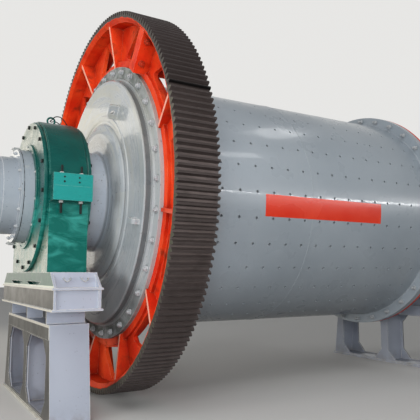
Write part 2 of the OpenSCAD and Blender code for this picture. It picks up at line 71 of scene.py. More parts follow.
PLATE_INSIDE = -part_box("pedestal_drive")[0][0] - PLATE_T
PLATE_LEVELS = (
    (BEAM_LOW, BEAM_LOW + LIP_T), (SOLE_LOW - LIP_T, SOLE_LOW),
    (PEDESTAL_TOP - PLATE_T, PEDESTAL_TOP), (0.0, PLATE_T))
SEAT_FLANGE_T = 0.160
CAP_FLANGE_T = 0.140
JOINT_LOW = AXIS_Z - SEAT_FLANGE_T
JOINT_HIGH = AXIS_Z + CAP_FLANGE_T

# Sizes that repeat the part's own, in metres and degrees
HEAD_FLANGE_T = 0.045
HEAD_BOLTS = 32
HEAD_BOLT_R = 1.715
HEAD_BOLT_START = -2.0
HUB_BACK = 0.155
DISC_FACE = 0.145
HEAD_DISC_R = 1.600
HEAD_SHOULDER_R = 1.028
TRUNNION_ROOT_R = 0.640
SPOUT_FLANGE_T = 0.03
NECK_R = 0.575
SPOUT_BOLTS = 14
SPOUT_BOLT_START = -1.7
SPOUT_BOLT_R = 0.525
RIM_RED_R = 1.775
GEAR_X = -2.255
GEAR_ROOT_R = 2.394
GEAR_TIP_R = 2.448
GEAR_JOINT = 129.0
GEAR_BARE_R = 2.372
JOINT_PLATE_T = 0.075
JOINT_BOLT_OFF = 0.145
JOINT_BOLT_RADII = (2.225, 1.965)
COVER_BOLTS = 16
COVER_BOLT_START = 2.0
COVER_BOLT_R = 0.876
COVER_T = 0.052
SEAL_R = 0.617

# Fasteners: width over the flats, the stud's end past the nut and the stud's radius, in metres
HEAD_BOLT = (0.058, 0.016, 0.018)
HEAD_NUT = (0.055, 0.038, 0.018)
SPOUT_BOLT = (0.034, 0.010, 0.010)
CLAMP_BOLT = (0.026, 0.010, 0.008)
COVER_BOLT = (0.040, 0.0, 0.013)
SEAL_BOLT = (0.022, 0.0, 0.007)
SEAL_BOLTS = 12
SEAL_BOLT_START = 9.0
BEARING_NUT = (0.042, 0.0, 0.013)
GEAR_BOLT = (0.062, 0.030, 0.019)
GEAR_BOLT_HEAD = (0.062, 0.0, 0.019)

# Small pieces, in metres and degrees
BEARING_STUD_Y = 1.040
BEARING_STUD_OFF = 0.110
BEARING_STUD_R = 0.013
JOINT_SCREW_R = 0.0105
JOINT_SCREW_RISES = (0.045, 0.097)
JOINT_SCREW_OFF = 0.0825
JOINT_SCREW_SHIFT = 0.017
HOOK_OFFS = (-0.090, 0.100)
HOOK_R = 0.007
LINK_R = 0.0065
LUG_HALF_W = 0.090
LUG_CORNER = 0.045
LUG_HOLE_R = 0.022
LUG_T = 0.052
CLAMP_ANGLES = (88.0, 282.0)
CLAMP_RISE = 0.036
CLAMP_HALF_W = 0.032
CLAMP_LEN = 0.070
GASKET_R = 0.0035
SHELL_BEAD_R = 0.0075
SHELL_BEAD_SINK = 0.003
SHELL_SEAM_TURNS = (189.6, 539.0)
LONG_SEAMS = ((40.0, -FACE_X + 0.17, -WELD_X), (285.0, -WELD_X, FACE_X - 0.12))
FOOT_BEAD_R = 0.007
SUPPORT_BEAD_R = 0.006
BEAD_RIPPLE = 0.16

# Lifting lugs on a head: angle, radius and reach
HEAD_LUGS = ((125.0, 1.260, 0.130), (195.0, 1.435, 0.085), (305.0, 1.260, 0.130), (15.0, 1.435, 0.085))

# Where a darker band lies on the gear's teeth, in radians, ending at a black line
TEETH_BAND_START = math.radians(100.0)
TEETH_BAND_END = math.radians(156.8)

# Camera, as solved from the shell's grid of holes
CAMERA_AT = (-4.761, -6.926, 1.543)
CAMERA_TURN = 30.305
CAMERA_UP = 6.753
CAMERA_LENS = 46.286
SENSOR = 36.0

# Colours of the shell
SHELL_DEEP = (0.300, 0.345, 0.386)
SHELL_PALE = (0.352, 0.398, 0.438)
SHELL_STREAK = (0.42, 0.44, 0.45)
SHELL_SPECK = (0.20, 0.21, 0.21)
SHELL_WORN = (0.46, 0.47, 0.47)

# Colours of the heads, trunnions and spouts
HEAD_DEEP = (0.305, 0.338, 0.362)
HEAD_PALE = (0.395, 0.420, 0.436)
TRUNNION_INSIDE = (0.460, 0.525, 0.610)
TRUNNION_OUTSIDE = (0.275, 0.318, 0.366)
HEAD_RIM = (0.50, 0.52, 0.53)
CREAM_SMEAR_AND_REFLECTION = (0.43, 0.42, 0.335)
HEAD_DUST = (0.50, 0.49, 0.44)
HEAD_SPECK = (0.10, 0.10, 0.09)
RIM_GRIME = (0.13, 0.145, 0.13)
WALL_SHADE = (0.075, 0.08, 0.088)
GROOVE_SHADE = (0.055, 0.06, 0.06)
# Painted shade round the foot of each head bolt
BOLT_FOOT_SHADE = (0.06, 0.065, 0.065)
HEAD_WORN = (0.56, 0.56, 0.55)

# Colours of red paint
RED_DEEP = (0.68, 0.030, 0.008)
RED_BRIGHT = (0.92, 0.090, 0.020)
RED_CORNER_SHADE = (0.20, 0.010, 0.005)
RED_GRIME = (0.16, 0.026, 0.014)
RED_LOW_SHADE = (0.16, 0.020, 0.014)
RED_SPECK = (0.10, 0.03, 0.02)

# Colours of the gear's painted edges: chipped paint, and on the ribs worn paint with a painted highlight
RED_CHIPPED = (0.85, 0.32, 0.20)
RIB_EDGE_WEAR_AND_HIGHLIGHT = (1.0, 0.50, 0.36)

# Colours of the gear's joint bolts
RED_BOLT_GRIME = (0.12, 0.02, 0.012)
RED_BOLT_WORN = (0.55, 0.16, 0.09)

# Colours of the teeth
TOOTH_ROOT_PAINTED_LIGHT = (0.140, 0.112, 0.106)
TOOTH_TIP = (0.060, 0.047, 0.045)
TOOTH_FILM = (0.034, 0.028, 0.025)
TOOTH_END_DEEP = (0.060, 0.056, 0.040)
TOOTH_END_PALE = (0.115, 0.108, 0.078)
TOOTH_WORN = (0.17, 0.158, 0.15)
TEETH_DARK_BAND = (0.045, 0.035, 0.034)
TEETH_DARK_LINE = (0.006, 0.005, 0.005)

# Colours of the bearing housings
GREEN_DEEP = (0.0025, 0.060, 0.052)
GREEN_BRIGHT = (0.004, 0.090, 0.076)
GREEN_LOW = (0.005, 0.150, 0.118)
GREEN_WIPED = (0.050, 0.36, 0.31)
COVER_REFLECTION_CREAM = (0.31, 0.33, 0.26)
JOINT_FACE_LIT_TEAL = (0.016, 0.265, 0.245)
GREEN_SPECK = (0.004, 0.04, 0.03)
GREEN_WORN = (0.16, 0.36, 0.30)
HOLE_SHADE = (0.002, 0.014, 0.012)

# Colours of the supports
SUPPORT_DEEP = (0.365, 0.398, 0.475)
SUPPORT_PALE = (0.415, 0.450, 0.525)
END_FACE_SHADE_DEEP = (0.036, 0.035, 0.031)
END_FACE_SHADE_PALE = (0.082, 0.078, 0.068)
PLATE_EDGE_HIGHLIGHT = (0.56, 0.53, 0.45)
PEDESTAL_SHADE = (0.20, 0.22, 0.26)
SOLE_GREEN_DEEP = (0.025, 0.075, 0.058)
SOLE_GREEN_PALE = (0.125, 0.195, 0.150)
SOLE_LIP_HIGHLIGHT = (0.62, 0.64, 0.52)
SOLE_RECESS_SHADE = (0.004, 0.065, 0.052)
SUPPORT_RUN = (0.28, 0.29, 0.31)
FOOT_DIRT = (0.19, 0.175, 0.155)
SUPPORT_SPECK = (0.16, 0.16, 0.16)
SUPPORT_WORN = (0.70, 0.68, 0.62)

# Colours of the bushes
BUSH_BRIGHT = (0.42, 0.34, 0.20)
BUSH_DULL = (0.26, 0.22, 0.15)

# Colours of the sign
SIGN_DEEP = (0.76, 0.034, 0.012)
SIGN_BRIGHT = (0.84, 0.058, 0.020)
SIGN_WORN = (0.62, 0.30, 0.26)

# Colours of plain steel bolts
STEEL_DULL = (0.34, 0.36, 0.36)
STEEL_BRIGHT = (0.55, 0.56, 0.55)
STEEL_WORN = (0.72, 0.72, 0.70)

# Colours of painted bolts
BOLT_GREY_DEEP = (0.30, 0.32, 0.335)
BOLT_GREY_PALE = (0.44, 0.46, 0.475)
BOLT_GREY_WORN = (0.60, 0.61, 0.61)

# Colours of dark steel
DARK_FILM = (0.010, 0.012, 0.012)
DARK_PALE = (0.034, 0.038, 0.037)

# Colours of the floor and backdrop
FLOOR_LIT = (0.14, 0.137, 0.134)
FLOOR_SEEN = (0.66, 0.65, 0.63)
SKY_FAR = (0.80, 0.795, 0.78)
SKY_NEAR = (0.50, 0.505, 0.51)
SKY_OVERHEAD = (0.30, 0.30, 0.30)


# Short calls for node trees

def add(tree, kind, inlets=None, **settings):
    """Adds a node. An inlet takes a plain value or another node's output."""
    made = tree.nodes.new(kind)
    for key, value in settings.items():
        setattr(made, key, value)
    for key, value in (inlets or {}).items():
        socket = made.inputs[key]
        if isinstance(value, bpy.types.NodeSocket):
            tree.links.new(value, socket)
        else:
            socket.default_value = value
    return made


def split(tree, vector):
    """The parts of a place or a direction along X, Y and Z."""
    return add(tree, "ShaderNodeSeparateXYZ", {0: vector}).outputs


def maths(tree, operation, a, b=None):
    inlets = {0: a}
    if b is not None:
        inlets[1] = b
    return add(tree, "ShaderNodeMath", inlets, operation=operation).outputs[0]


def both(tree, a, b):
    """The product, so 1 only where both are 1."""
    return maths(tree, "MULTIPLY", a, b)


def unsigned(tree, value):
    """The value without its sign."""
    return maths(tree, "ABSOLUTE", value)


def between(tree, value, low, high, out_low=0.0, out_high=1.0):
    """Spreads a value from low to high onto out_low to out_high and stops it there."""
    inlets = {"Value": value, "From Min": low, "From Max": high, "To Min": out_low, "To Max": out_high}
    return add(tree, "ShaderNodeMapRange", inlets).outputs["Result"]


def blend(tree, share, a, b):
    """Colour a where the share is 0, and colour b where it is 1."""
    node = add(tree, "ShaderNodeMix", {0: share}, data_type="RGBA")
    for socket, colour in ((node.inputs[6], a), (node.inputs[7], b)):
        if isinstance(colour, bpy.types.NodeSocket):
            tree.links.new(colour, socket)
        else:
            socket.default_value = (*colour, 1.0)
    return node.outputs[2]


def place(tree):
    return add(tree, "ShaderNodeTexCoord").outputs["Object"]


def cloud(tree, at, scale, detail=3.0, rough=0.5, stretch=(1.0, 1.0, 1.0), warp=0.0):
    """A noise over a place, from 0 to 1."""
    if stretch != (1.0, 1.0, 1.0):
        at = add(tree, "ShaderNodeMapping", {"Vector": at, "Scale": stretch}).outputs[0]
    inlets = {"Vector": at, "Scale": scale, "Detail": detail, "Roughness": rough, "Distortion": warp}
    return add(tree, "ShaderNodeTexNoise", inlets).outputs["Fac"]


def round_axis(tree, at):
    """Radius from the mill's axis, angle round it, distance along it, and the three as one place."""
    parts = split(tree, at)
    up = maths(tree, "SUBTRACT", parts[2], AXIS_Z)
    squares = maths(tree, "ADD", both(tree, parts[1], parts[1]), both(tree, up, up))
    radius = maths(tree, "SQRT", squares)
    turn = maths(tree, "ARCTAN2", up, parts[1])
    unrolled = add(tree, "ShaderNodeCombineXYZ", {0: parts[0], 1: turn, 2: radius}).outputs[0]
    return {"radius": radius, "turn": turn, "along": parts[0], "unrolled": unrolled}


def near_ring(tree, at, ring, count, start):
    """Distance to the nearest of the places set evenly on a circle about the mill's axis."""
    about = round_axis(tree, at)
    step = math.tau / count
    turns = maths(tree, "DIVIDE", maths(tree, "SUBTRACT", about["turn"], math.radians(start)), step)
    part = maths(tree, "SUBTRACT", maths(tree, "FRACT", maths(tree, "ADD", turns, 0.5)), 0.5)
    aside = both(tree, part, step * ring)
    out = maths(tree, "SUBTRACT", about["radius"], ring)
    squares = maths(tree, "ADD", both(tree, aside, aside), both(tree, out, out))
    return maths(tree, "SQRT", squares)


def ring_bands(tree, radius, bands, soft):
    """1 where the distance from the axis is in one of the bands."""
    found = 0.0
    for inner, outer in bands:
        rise = between(tree, radius, inner - soft, inner)
        band = both(tree, rise, between(tree, radius, outer + soft, outer))
        found = maths(tree, "MAXIMUM", band, found)
    return found


def worn_edge(tree, reach, low=0.02, high=0.2):
    """1 along a piece's edges, from the difference between the rounded and the true normal."""
    soft = add(tree, "ShaderNodeBevel", {"Radius": reach}, samples=4).outputs[0]
    true = add(tree, "ShaderNodeNewGeometry").outputs["True Normal"]
    same = add(tree, "ShaderNodeVectorMath", {0: soft, 1: true}, operation="DOT_PRODUCT").outputs["Value"]
    return between(tree, maths(tree, "SUBTRACT", 1.0, same), low, high)


def facing(tree, axis):
    """The true normal's part along an axis, without its sign."""
    true = add(tree, "ShaderNodeNewGeometry").outputs["True Normal"]
    return unsigned(tree, split(tree, true)[axis])


def bump(tree, height, distance, strength=1.0, under=None):
    inlets = {"Height": height, "Distance": distance, "Strength": strength}
    if under is not None:
        inlets["Normal"] = under
    return add(tree, "ShaderNodeBump", inlets).outputs[0]


def painted(name, draw, metal=0.0, coat=0.0, coat_rough=0.08, gloss=0.5):
    """A material. draw(tree) gives its colour, roughness and normal, and may give other inlets by name."""
    made = bpy.data.materials.new(name)
    made.use_nodes = True
    tree = made.node_tree
    shader = tree.nodes["Principled BSDF"]
    shader.inputs["Metallic"].default_value = metal
    shader.inputs["Specular IOR Level"].default_value = gloss
    shader.inputs["Coat Weight"].default_value = coat
    shader.inputs["Coat Roughness"].default_value = coat_rough
    colour, rough, normal, *more = draw(tree)
    tree.links.new(colour, shader.inputs["Base Color"])
    tree.links.new(rough, shader.inputs["Roughness"])
    tree.links.new(normal, shader.inputs["Normal"])
    for inlets in more:
        for key, value in inlets.items():
            tree.links.new(value, shader.inputs[key])
    return made


# Finishes

def shell_paint(tree):
    at = place(tree)
    patch = cloud(tree, at, 0.7, 4.0, 0.55)
    streak = cloud(tree, round_axis(tree, at)["unrolled"], 5.0, 4.0, 0.6, stretch=(1.0, 0.25, 1.0))
    speck = cloud(tree, at, 60.0, 2.0, 0.6)
    colour = blend(tree, between(tree, patch, 0.35, 0.65), SHELL_DEEP, SHELL_PALE)
    colour = blend(tree, between(tree, streak, 0.62, 0.80, 0.0, 0.25), colour, SHELL_STREAK)
    colour = blend(tree, between(tree, speck, 0.66, 0.74, 0.0, 0.5), colour, SHELL_SPECK)
    colour = blend(tree, worn_edge(tree, 0.006), colour, SHELL_WORN)
    rough = between(tree, cloud(tree, at, 3.0, 3.0), 0.3, 0.7, 0.24, 0.40)
    wave = bump(tree, cloud(tree, at, 1.6, 2.0), 0.010, 0.5)
    normal = bump(tree, cloud(tree, at, 220.0, 2.0), 0.0006, 0.25, wave)
    return colour, rough, normal


def head_paint(tree, red_rim=False):
    at = place(tree)
    about = round_axis(tree, at)
    radius = about["radius"]
    patch = cloud(tree, at, 1.5, 5.0, 0.6, warp=0.6)
    smear = cloud(tree, about["unrolled"], 3.0, 5.0, 0.65, stretch=(1.0, 0.4, 3.0), warp=0.8)
    dust = cloud(tree, at, 7.0, 6.0, 0.7, warp=0.4)
    speck = cloud(tree, at, 34.0, 2.0, 0.6)
    height = split(tree, at)[2]
    colour = blend(tree, between(tree, patch, 0.35, 0.65), HEAD_DEEP, HEAD_PALE)
    # Cream smears on the disc, with a painted reflection of the pale backdrop that keeps them to the upper
    # part.
    upper = between(tree, height, AXIS_Z - 0.2, AXIS_Z + 1.1, 0.15, 0.85)
    disc = between(tree, radius, TRUNNION_ROOT_R, TRUNNION_ROOT_R + 0.14)
    cream_smear_and_reflection = both(tree, both(tree, between(tree, smear, 0.42, 0.66), upper), disc)
    clean = between(tree, patch, 0.3, 0.7, 0.9, 0.6)
    outside = between(tree, unsigned(tree, about["along"]), BEARING_X - 0.1, BEARING_X + 0.1)
    bare = blend(tree, outside, TRUNNION_INSIDE, TRUNNION_OUTSIDE)
    trunnion = between(tree, radius, TRUNNION_ROOT_R + 0.10, TRUNNION_ROOT_R)
    colour = blend(tree, both(tree, trunnion, clean), colour, bare)
    past_disc = between(tree, radius, HEAD_DISC_R, HEAD_DISC_R + 0.04)
    colour = blend(tree, both(tree, past_disc, 0.45), colour, HEAD_RIM)
    colour = blend(tree, cream_smear_and_reflection, colour, CREAM_SMEAR_AND_REFLECTION)
    colour = blend(tree, between(tree, dust, 0.60, 0.72, 0.0, 0.5), colour, HEAD_DUST)
    colour = blend(tree, between(tree, speck, 0.68, 0.73), colour, HEAD_SPECK)
    high = between(tree, height, AXIS_Z + 0.5, AXIS_Z + 1.4)
    soiled = maths(tree, "MAXIMUM", high, between(tree, height, AXIS_Z - 0.95, AXIS_Z - 1.55))
    grime = both(tree, both(tree, past_disc, soiled), between(tree, dust, 0.36, 0.56, 0.45, 0.9))
    colour = blend(tree, grime, colour, RIM_GRIME)
    upright = between(tree, facing(tree, 0), 0.80, 0.45)
    walls = ring_bands(tree, radius, (
        (HEAD_DISC_R - 0.05, HEAD_DISC_R + 0.04), (HEAD_SHOULDER_R - 0.038, HEAD_SHOULDER_R + 0.052)), 0.02)
    colour = blend(tree, both(tree, both(tree, walls, upright), 0.62), colour, WALL_SHADE)
    groove = ring_bands(tree, radius, [
        (foot, foot + wide) for foot, wide in (
            (HEAD_DISC_R, 0.012), (HEAD_SHOULDER_R, 0.012), (TRUNNION_ROOT_R, 0.016))], 0.007)
    colour = blend(tree, both(tree, groove, 0.55), colour, GROOVE_SHADE)
    # Painted shade: a dark ring on the face round the foot of each head bolt.
    bolts = near_ring(tree, at, HEAD_BOLT_R, HEAD_BOLTS, HEAD_BOLT_START)
    colour = blend(tree, between(tree, bolts, 0.056, 0.036, 0.0, 0.65), colour, BOLT_FOOT_SHADE)
    colour = blend(tree, worn_edge(tree, 0.008), colour, HEAD_WORN)
    if red_rim:
        red = red_paint(tree, at)[0]
        colour = blend(tree, between(tree, radius, RIM_RED_R - 0.002, RIM_RED_R + 0.002), colour, red)
    rough = maths(tree, "ADD", between(tree, smear, 0.3, 0.7, 0.20, 0.40), both(tree, grime, 0.35))
    clear = maths(tree, "SUBTRACT", 1.0, grime)
    inlets = {"Coat Weight": both(tree, clear, 0.5), "Specular IOR Level": both(tree, clear, 0.4)}
    cast = bump(tree, cloud(tree, at, 16.0, 4.0, 0.6), 0.004, 0.5)
    normal = bump(tree, cloud(tree, at, 3.0, 2.0), 0.02, 0.35, cast)
    return colour, rough, normal, inlets


def far_head_paint(tree):
    return head_paint(tree, red_rim=True)


def red_paint(tree, at):
    patch = cloud(tree, at, 2.4, 4.0, 0.6)
    grime = cloud(tree, at, 5.0, 6.0, 0.65, warp=0.5)
    speck = cloud(tree, at, 38.0, 2.0, 0.6)
    colour = blend(tree, between(tree, patch, 0.35, 0.65), RED_DEEP, RED_BRIGHT)
    # Painted shade: the red is darkened in corners and recesses, from ambient occlusion.
    occlusion = add(tree, "ShaderNodeAmbientOcclusion", {"Distance": 0.30}, samples=4).outputs["AO"]
    colour = blend(tree, between(tree, occlusion, 0.60, 0.20, 0.0, 0.85), colour, RED_CORNER_SHADE)
    colour = blend(tree, between(tree, grime, 0.54, 0.72, 0.0, 0.75), colour, RED_GRIME)
    # Painted shade: the red gets darker towards the bottom.
    height = split(tree, at)[2]
    colour = blend(tree, between(tree, height, 1.3, 0.4, 0.0, 0.2), colour, RED_LOW_SHADE)
    colour = blend(tree, between(tree, speck, 0.68, 0.74, 0.0, 0.8), colour, RED_SPECK)
    rough = between(tree, grime, 0.3, 0.75, 0.30, 0.62)
    return colour, rough


def gear_paint(tree):
    at = place(tree)
    colour, rough = red_paint(tree, at)
    chips = cloud(tree, at, 14.0, 4.0, 0.7)
    edge = both(tree, worn_edge(tree, 0.006), between(tree, chips, 0.42, 0.56, 0.0, 0.8))
    colour = blend(tree, edge, colour, RED_CHIPPED)
    # The ribs' sloping front edges: worn paint, and a painted highlight where they face the ends.
    slope = facing(tree, 0)
    rib_edge = both(tree, between(tree, slope, 0.90, 0.93), between(tree, slope, 0.992, 0.985))
    level = split(tree, at)[2]
    off_axis = unsigned(tree, maths(tree, "SUBTRACT", level, AXIS_Z))
    rib_edge = both(tree, rib_edge, between(tree, off_axis, 0.3, 0.7))
    worn = both(tree, rib_edge, between(tree, chips, 0.30, 0.45, 0.45, 0.9))
    colour = blend(tree, worn, colour, RIB_EDGE_WEAR_AND_HIGHLIGHT)
    normal = bump(tree, cloud(tree, at, 18.0, 4.0, 0.6), 0.003, 0.5)
    return colour, rough, normal


def red_bolt(tree):
    at = place(tree)
    colour, rough = red_paint(tree, at)
    colour = blend(tree, 0.5, colour, RED_BOLT_GRIME)
    colour = blend(tree, worn_edge(tree, 0.003), colour, RED_BOLT_WORN)
    return colour, rough, bump(tree, cloud(tree, at, 40.0), 0.001, 0.4)


def gear_steel(tree):
    at = place(tree)
    about = round_axis(tree, at)
    radius, turn, unrolled = about["radius"], about["turn"], about["unrolled"]
    red, red_rough = red_paint(tree, at)
    line = maths(tree, "ADD", radius, between(tree, cloud(tree, at, 9.0, 3.0), 0.3, 0.7, -0.006, 0.006))
    bare = between(tree, line, GEAR_BARE_R - 0.004, GEAR_BARE_R + 0.004)
    film = cloud(tree, unrolled, 9.0, 5.0, 0.6, stretch=(0.5, 3.0, 1.0))
    cut = cloud(tree, unrolled, 60.0, 2.0, 0.5, stretch=(0.08, 6.0, 1.0))
    # Painted light: the roots are painted lighter than the tips to offset the shade between the teeth.
    height = between(tree, radius, GEAR_ROOT_R, GEAR_TIP_R)
    steel = blend(tree, height, TOOTH_ROOT_PAINTED_LIGHT, TOOTH_TIP)
    steel = blend(tree, between(tree, film, 0.45, 0.75, 0.0, 0.5), steel, TOOTH_FILM)
    land = blend(tree, film, TOOTH_END_DEEP, TOOTH_END_PALE)
    steel = blend(tree, between(tree, facing(tree, 0), 0.7, 0.9), steel, land)
    steel = blend(tree, worn_edge(tree, 0.003), steel, TOOTH_WORN)
    # The teeth are darker over a band of angles, and the band ends at a black line.
    in_dark_band = both(tree, between(tree, turn, TEETH_BAND_START - 0.6, TEETH_BAND_START - 0.2),
                   between(tree, turn, TEETH_BAND_END + 0.004, TEETH_BAND_END))
    steel = blend(tree, both(tree, in_dark_band, 0.6), steel, TEETH_DARK_BAND)
    off = unsigned(tree, maths(tree, "SUBTRACT", turn, TEETH_BAND_END))
    steel = blend(tree, between(tree, off, 0.0060, 0.0040), steel, TEETH_DARK_LINE)
    colour = blend(tree, bare, red, steel)
    steel_rough = between(tree, film, 0.3, 0.7, 0.36, 0.58)
    rough = blend(tree, bare, red_rough, steel_rough)
    normal = bump(tree, cut, 0.0012, 0.5)
    inlets = {
        "Metallic": both(tree, bare, 0.35), "Specular IOR Level": between(tree, bare, 0.0, 1.0, 0.03, 0.2)}
    return colour, rough, normal, inlets


def housing_paint(tree):
    at = place(tree)
    parts = split(tree, at)
    patch = cloud(tree, at, 2.2, 4.0, 0.6)
    wipe = cloud(tree, at, 2.6, 5.0, 0.58, stretch=(1.0, 1.0, 2.4), warp=1.2)
    speck = cloud(tree, at, 46.0, 2.0, 0.6)
    low = between(tree, parts[2], AXIS_Z - 0.05, AXIS_Z - 0.30)
    colour = blend(tree, between(tree, patch, 0.35, 0.65), GREEN_DEEP, GREEN_BRIGHT)
    colour = blend(tree, both(tree, low, 0.55), colour, GREEN_LOW)
    streaks = both(tree, low, between(tree, parts[2], AXIS_Z - 0.95, AXIS_Z - 0.40, 0.35, 1.0))
    cloudy = both(tree, between(tree, wipe, 0.47, 0.66), streaks)
    colour = blend(tree, both(tree, cloudy, 0.8), colour, GREEN_WIPED)
    # Painted reflection: mottled cream on the end faces away from the axis, as the pale backdrop seen in
    # the glossy green.
    away = unsigned(tree, maths(tree, "SUBTRACT", parts[2], AXIS_Z))
    face = both(tree, between(tree, facing(tree, 0), 0.90, 0.98), between(tree, away, 0.40, 0.62, 0.0, 0.8))
    dust = between(tree, cloud(tree, at, 5.0, 6.0, 0.7), 0.34, 0.56)
    colour = blend(tree, both(tree, dust, face), colour, COVER_REFLECTION_CREAM)
    # Painted light: lighter teal on the outer faces of the joint flanges.
    band = both(tree, between(tree, parts[2], JOINT_LOW - 0.002, JOINT_LOW + 0.002),
                between(tree, parts[2], JOINT_HIGH + 0.002, JOINT_HIGH - 0.002))
    outer = between(tree, unsigned(tree, parts[1]), JOINT_Y - 0.012, JOINT_Y - 0.006)
    colour = blend(tree, both(tree, band, outer), colour, JOINT_FACE_LIT_TEAL)
    colour = blend(tree, between(tree, speck, 0.69, 0.74, 0.0, 0.7), colour, GREEN_SPECK)
    edge = both(tree, worn_edge(tree, 0.006), between(tree, cloud(tree, at, 20.0), 0.35, 0.5))
    colour = blend(tree, edge, colour, GREEN_WORN)
    holes = near_ring(tree, at, COVER_BOLT_R, COVER_BOLTS, COVER_BOLT_START)
    colour = blend(tree, between(tree, holes, 0.034, 0.024, 0.0, 0.8), colour, HOLE_SHADE)
    rough = between(tree, wipe, 0.3, 0.7, 0.20, 0.40)
    cast = bump(tree, cloud(tree, at, 9.0, 4.0, 0.6), 0.008, 0.45)
    normal = bump(tree, cloud(tree, at, 4.0, 2.0), 0.012, 0.35, cast)
    return colour, rough, normal


def plate_edges(tree, height):
    """1 at the levels where the supports' plates show their edges."""
    edges = 0.0
    for low, high in PLATE_LEVELS:
        band = both(tree, between(tree, height, low - 0.001, low + 0.001),
                    between(tree, height, high + 0.001, high - 0.001))
        edges = maths(tree, "MAXIMUM", band, edges)
    return edges


def support_paint(tree, teal_sides=False):
    at = place(tree)
    parts = split(tree, at)
    patch = cloud(tree, at, 1.2, 4.0, 0.55)
    run = cloud(tree, at, 3.2, 3.0, 0.5, stretch=(1.0, 1.0, 0.3), warp=0.6)
    grime = cloud(tree, at, 6.0, 6.0, 0.65)
    foot = both(tree, between(tree, parts[2], 0.22, 0.0), between(tree, grime, 0.4, 0.7))
    colour = blend(tree, between(tree, patch, 0.35, 0.65), SUPPORT_DEEP, SUPPORT_PALE)
    # Painted shade: the sides that face the ends, and the window jambs, are darker and brownish.
    outer = between(tree, unsigned(tree, parts[0]), BEARING_X - 0.01, BEARING_X + 0.01)
    true = add(tree, "ShaderNodeNewGeometry").outputs["True Normal"]
    outward = both(tree, split(tree, true)[0], maths(tree, "SIGN", parts[0]))
    across = both(tree, between(tree, outward, 0.6, 0.9), outer)
    jamb = both(tree, between(tree, unsigned(tree, parts[0]), PLATE_INSIDE - 0.002, PLATE_INSIDE),
                between(tree, unsigned(tree, parts[1]), 1.10, 1.08))
    jamb = both(tree, jamb, between(tree, parts[2], PEDESTAL_TOP - 0.04, PEDESTAL_TOP - 0.05, 0.0, 0.85))
    across = maths(tree, "MAXIMUM", across, jamb)
    end_face_shade = blend(tree, between(tree, run, 0.35, 0.7), END_FACE_SHADE_DEEP, END_FACE_SHADE_PALE)
    # Painted highlight: pale cream along the plates' edges on those sides.
    end_face_shade = blend(tree, plate_edges(tree, parts[2]), end_face_shade, PLATE_EDGE_HIGHLIGHT)
    below = between(tree, parts[2], PEDESTAL_TOP + 0.06, PEDESTAL_TOP, 0.0, 0.22)
    colour = blend(tree, below, colour, PEDESTAL_SHADE)
    colour = blend(tree, across, colour, end_face_shade)
    if teal_sides:
        green = blend(tree, between(tree, grime, 0.4, 0.65), SOLE_GREEN_DEEP, SOLE_GREEN_PALE)
        # Painted highlight: a pale line along the bottom lip of the sole's teal sides.
        lip_highlight = between(tree, parts[2], SOLE_LOW + 0.021, SOLE_LOW + 0.019)
        green = blend(tree, lip_highlight, green, SOLE_LIP_HIGHLIGHT)
        # Teal paint, darker inside the recesses as painted shade.
        inside = unsigned(tree, maths(tree, "SUBTRACT", unsigned(tree, parts[0]), BEARING_X))
        recess = both(tree, between(tree, inside, SOLE_SIDE - 0.001, SOLE_SIDE - 0.004),
                      between(tree, inside, SOLE_SIDE - RECESS_DEPTH - 0.004, SOLE_SIDE - RECESS_DEPTH))
        colour = blend(tree, across, colour, green)
        recess_shade = both(tree, recess, between(tree, unsigned(tree, parts[1]), 1.0, 0.99))
        colour = blend(tree, recess_shade, colour, SOLE_RECESS_SHADE)
    colour = blend(tree, between(tree, run, 0.62, 0.8, 0.0, 0.3), colour, SUPPORT_RUN)
    colour = blend(tree, both(tree, foot, 0.8), colour, FOOT_DIRT)
    speck = cloud(tree, at, 42.0, 2.0)
    colour = blend(tree, between(tree, speck, 0.70, 0.75, 0.0, 0.7), colour, SUPPORT_SPECK)
    edge = both(tree, worn_edge(tree, 0.010), between(tree, cloud(tree, at, 16.0), 0.30, 0.42))
    colour = blend(tree, edge, colour, SUPPORT_WORN)
    rough = between(tree, grime, 0.3, 0.7, 0.30, 0.44)
    wave = bump(tree, cloud(tree, at, 2.6, 2.0), 0.006, 0.4)
    normal = bump(tree, cloud(tree, at, 240.0, 2.0), 0.0005, 0.25, wave)
    return colour, rough, normal


def sole_paint(tree):
    return support_paint(tree, teal_sides=True)


def bush_metal(tree):
    at = place(tree)
    film = cloud(tree, at, 8.0, 4.0)
    colour = blend(tree, film, BUSH_BRIGHT, BUSH_DULL)
    rough = between(tree, film, 0.3, 0.7, 0.28, 0.5)
    return colour, rough, bump(tree, cloud(tree, at, 60.0), 0.0006, 0.4)


def sign_red(tree):
    at = place(tree)
    fade = cloud(tree, at, 2.0, 3.0)
    colour = blend(tree, between(tree, fade, 0.3, 0.7), SIGN_DEEP, SIGN_BRIGHT)
    colour = blend(tree, worn_edge(tree, 0.004), colour, SIGN_WORN)
    rough = between(tree, fade, 0.3, 0.7, 0.20, 0.32)
    return colour, rough, bump(tree, cloud(tree, at, 5.0), 0.003, 0.3)


def small_metal(tree, grain, dull, bright, worn, smoothest, roughest):
    """A patchy surface for small metal pieces, bright along its edges."""
    at = place(tree)
    film = cloud(tree, at, grain, 3.0)
    colour = blend(tree, between(tree, film, 0.35, 0.65), dull, bright)
    colour = blend(tree, worn_edge(tree, 0.004), colour, worn)
    rough = between(tree, film, 0.3, 0.7, smoothest, roughest)
    return colour, rough, bump(tree, cloud(tree, at, 90.0), 0.0006, 0.4)


def bolt_steel(tree):
    return small_metal(tree, 22.0, STEEL_DULL, STEEL_BRIGHT, STEEL_WORN, 0.24, 0.42)


def bolt_paint(tree):
    return small_metal(tree, 26.0, BOLT_GREY_DEEP, BOLT_GREY_PALE, BOLT_GREY_WORN, 0.26, 0.44)


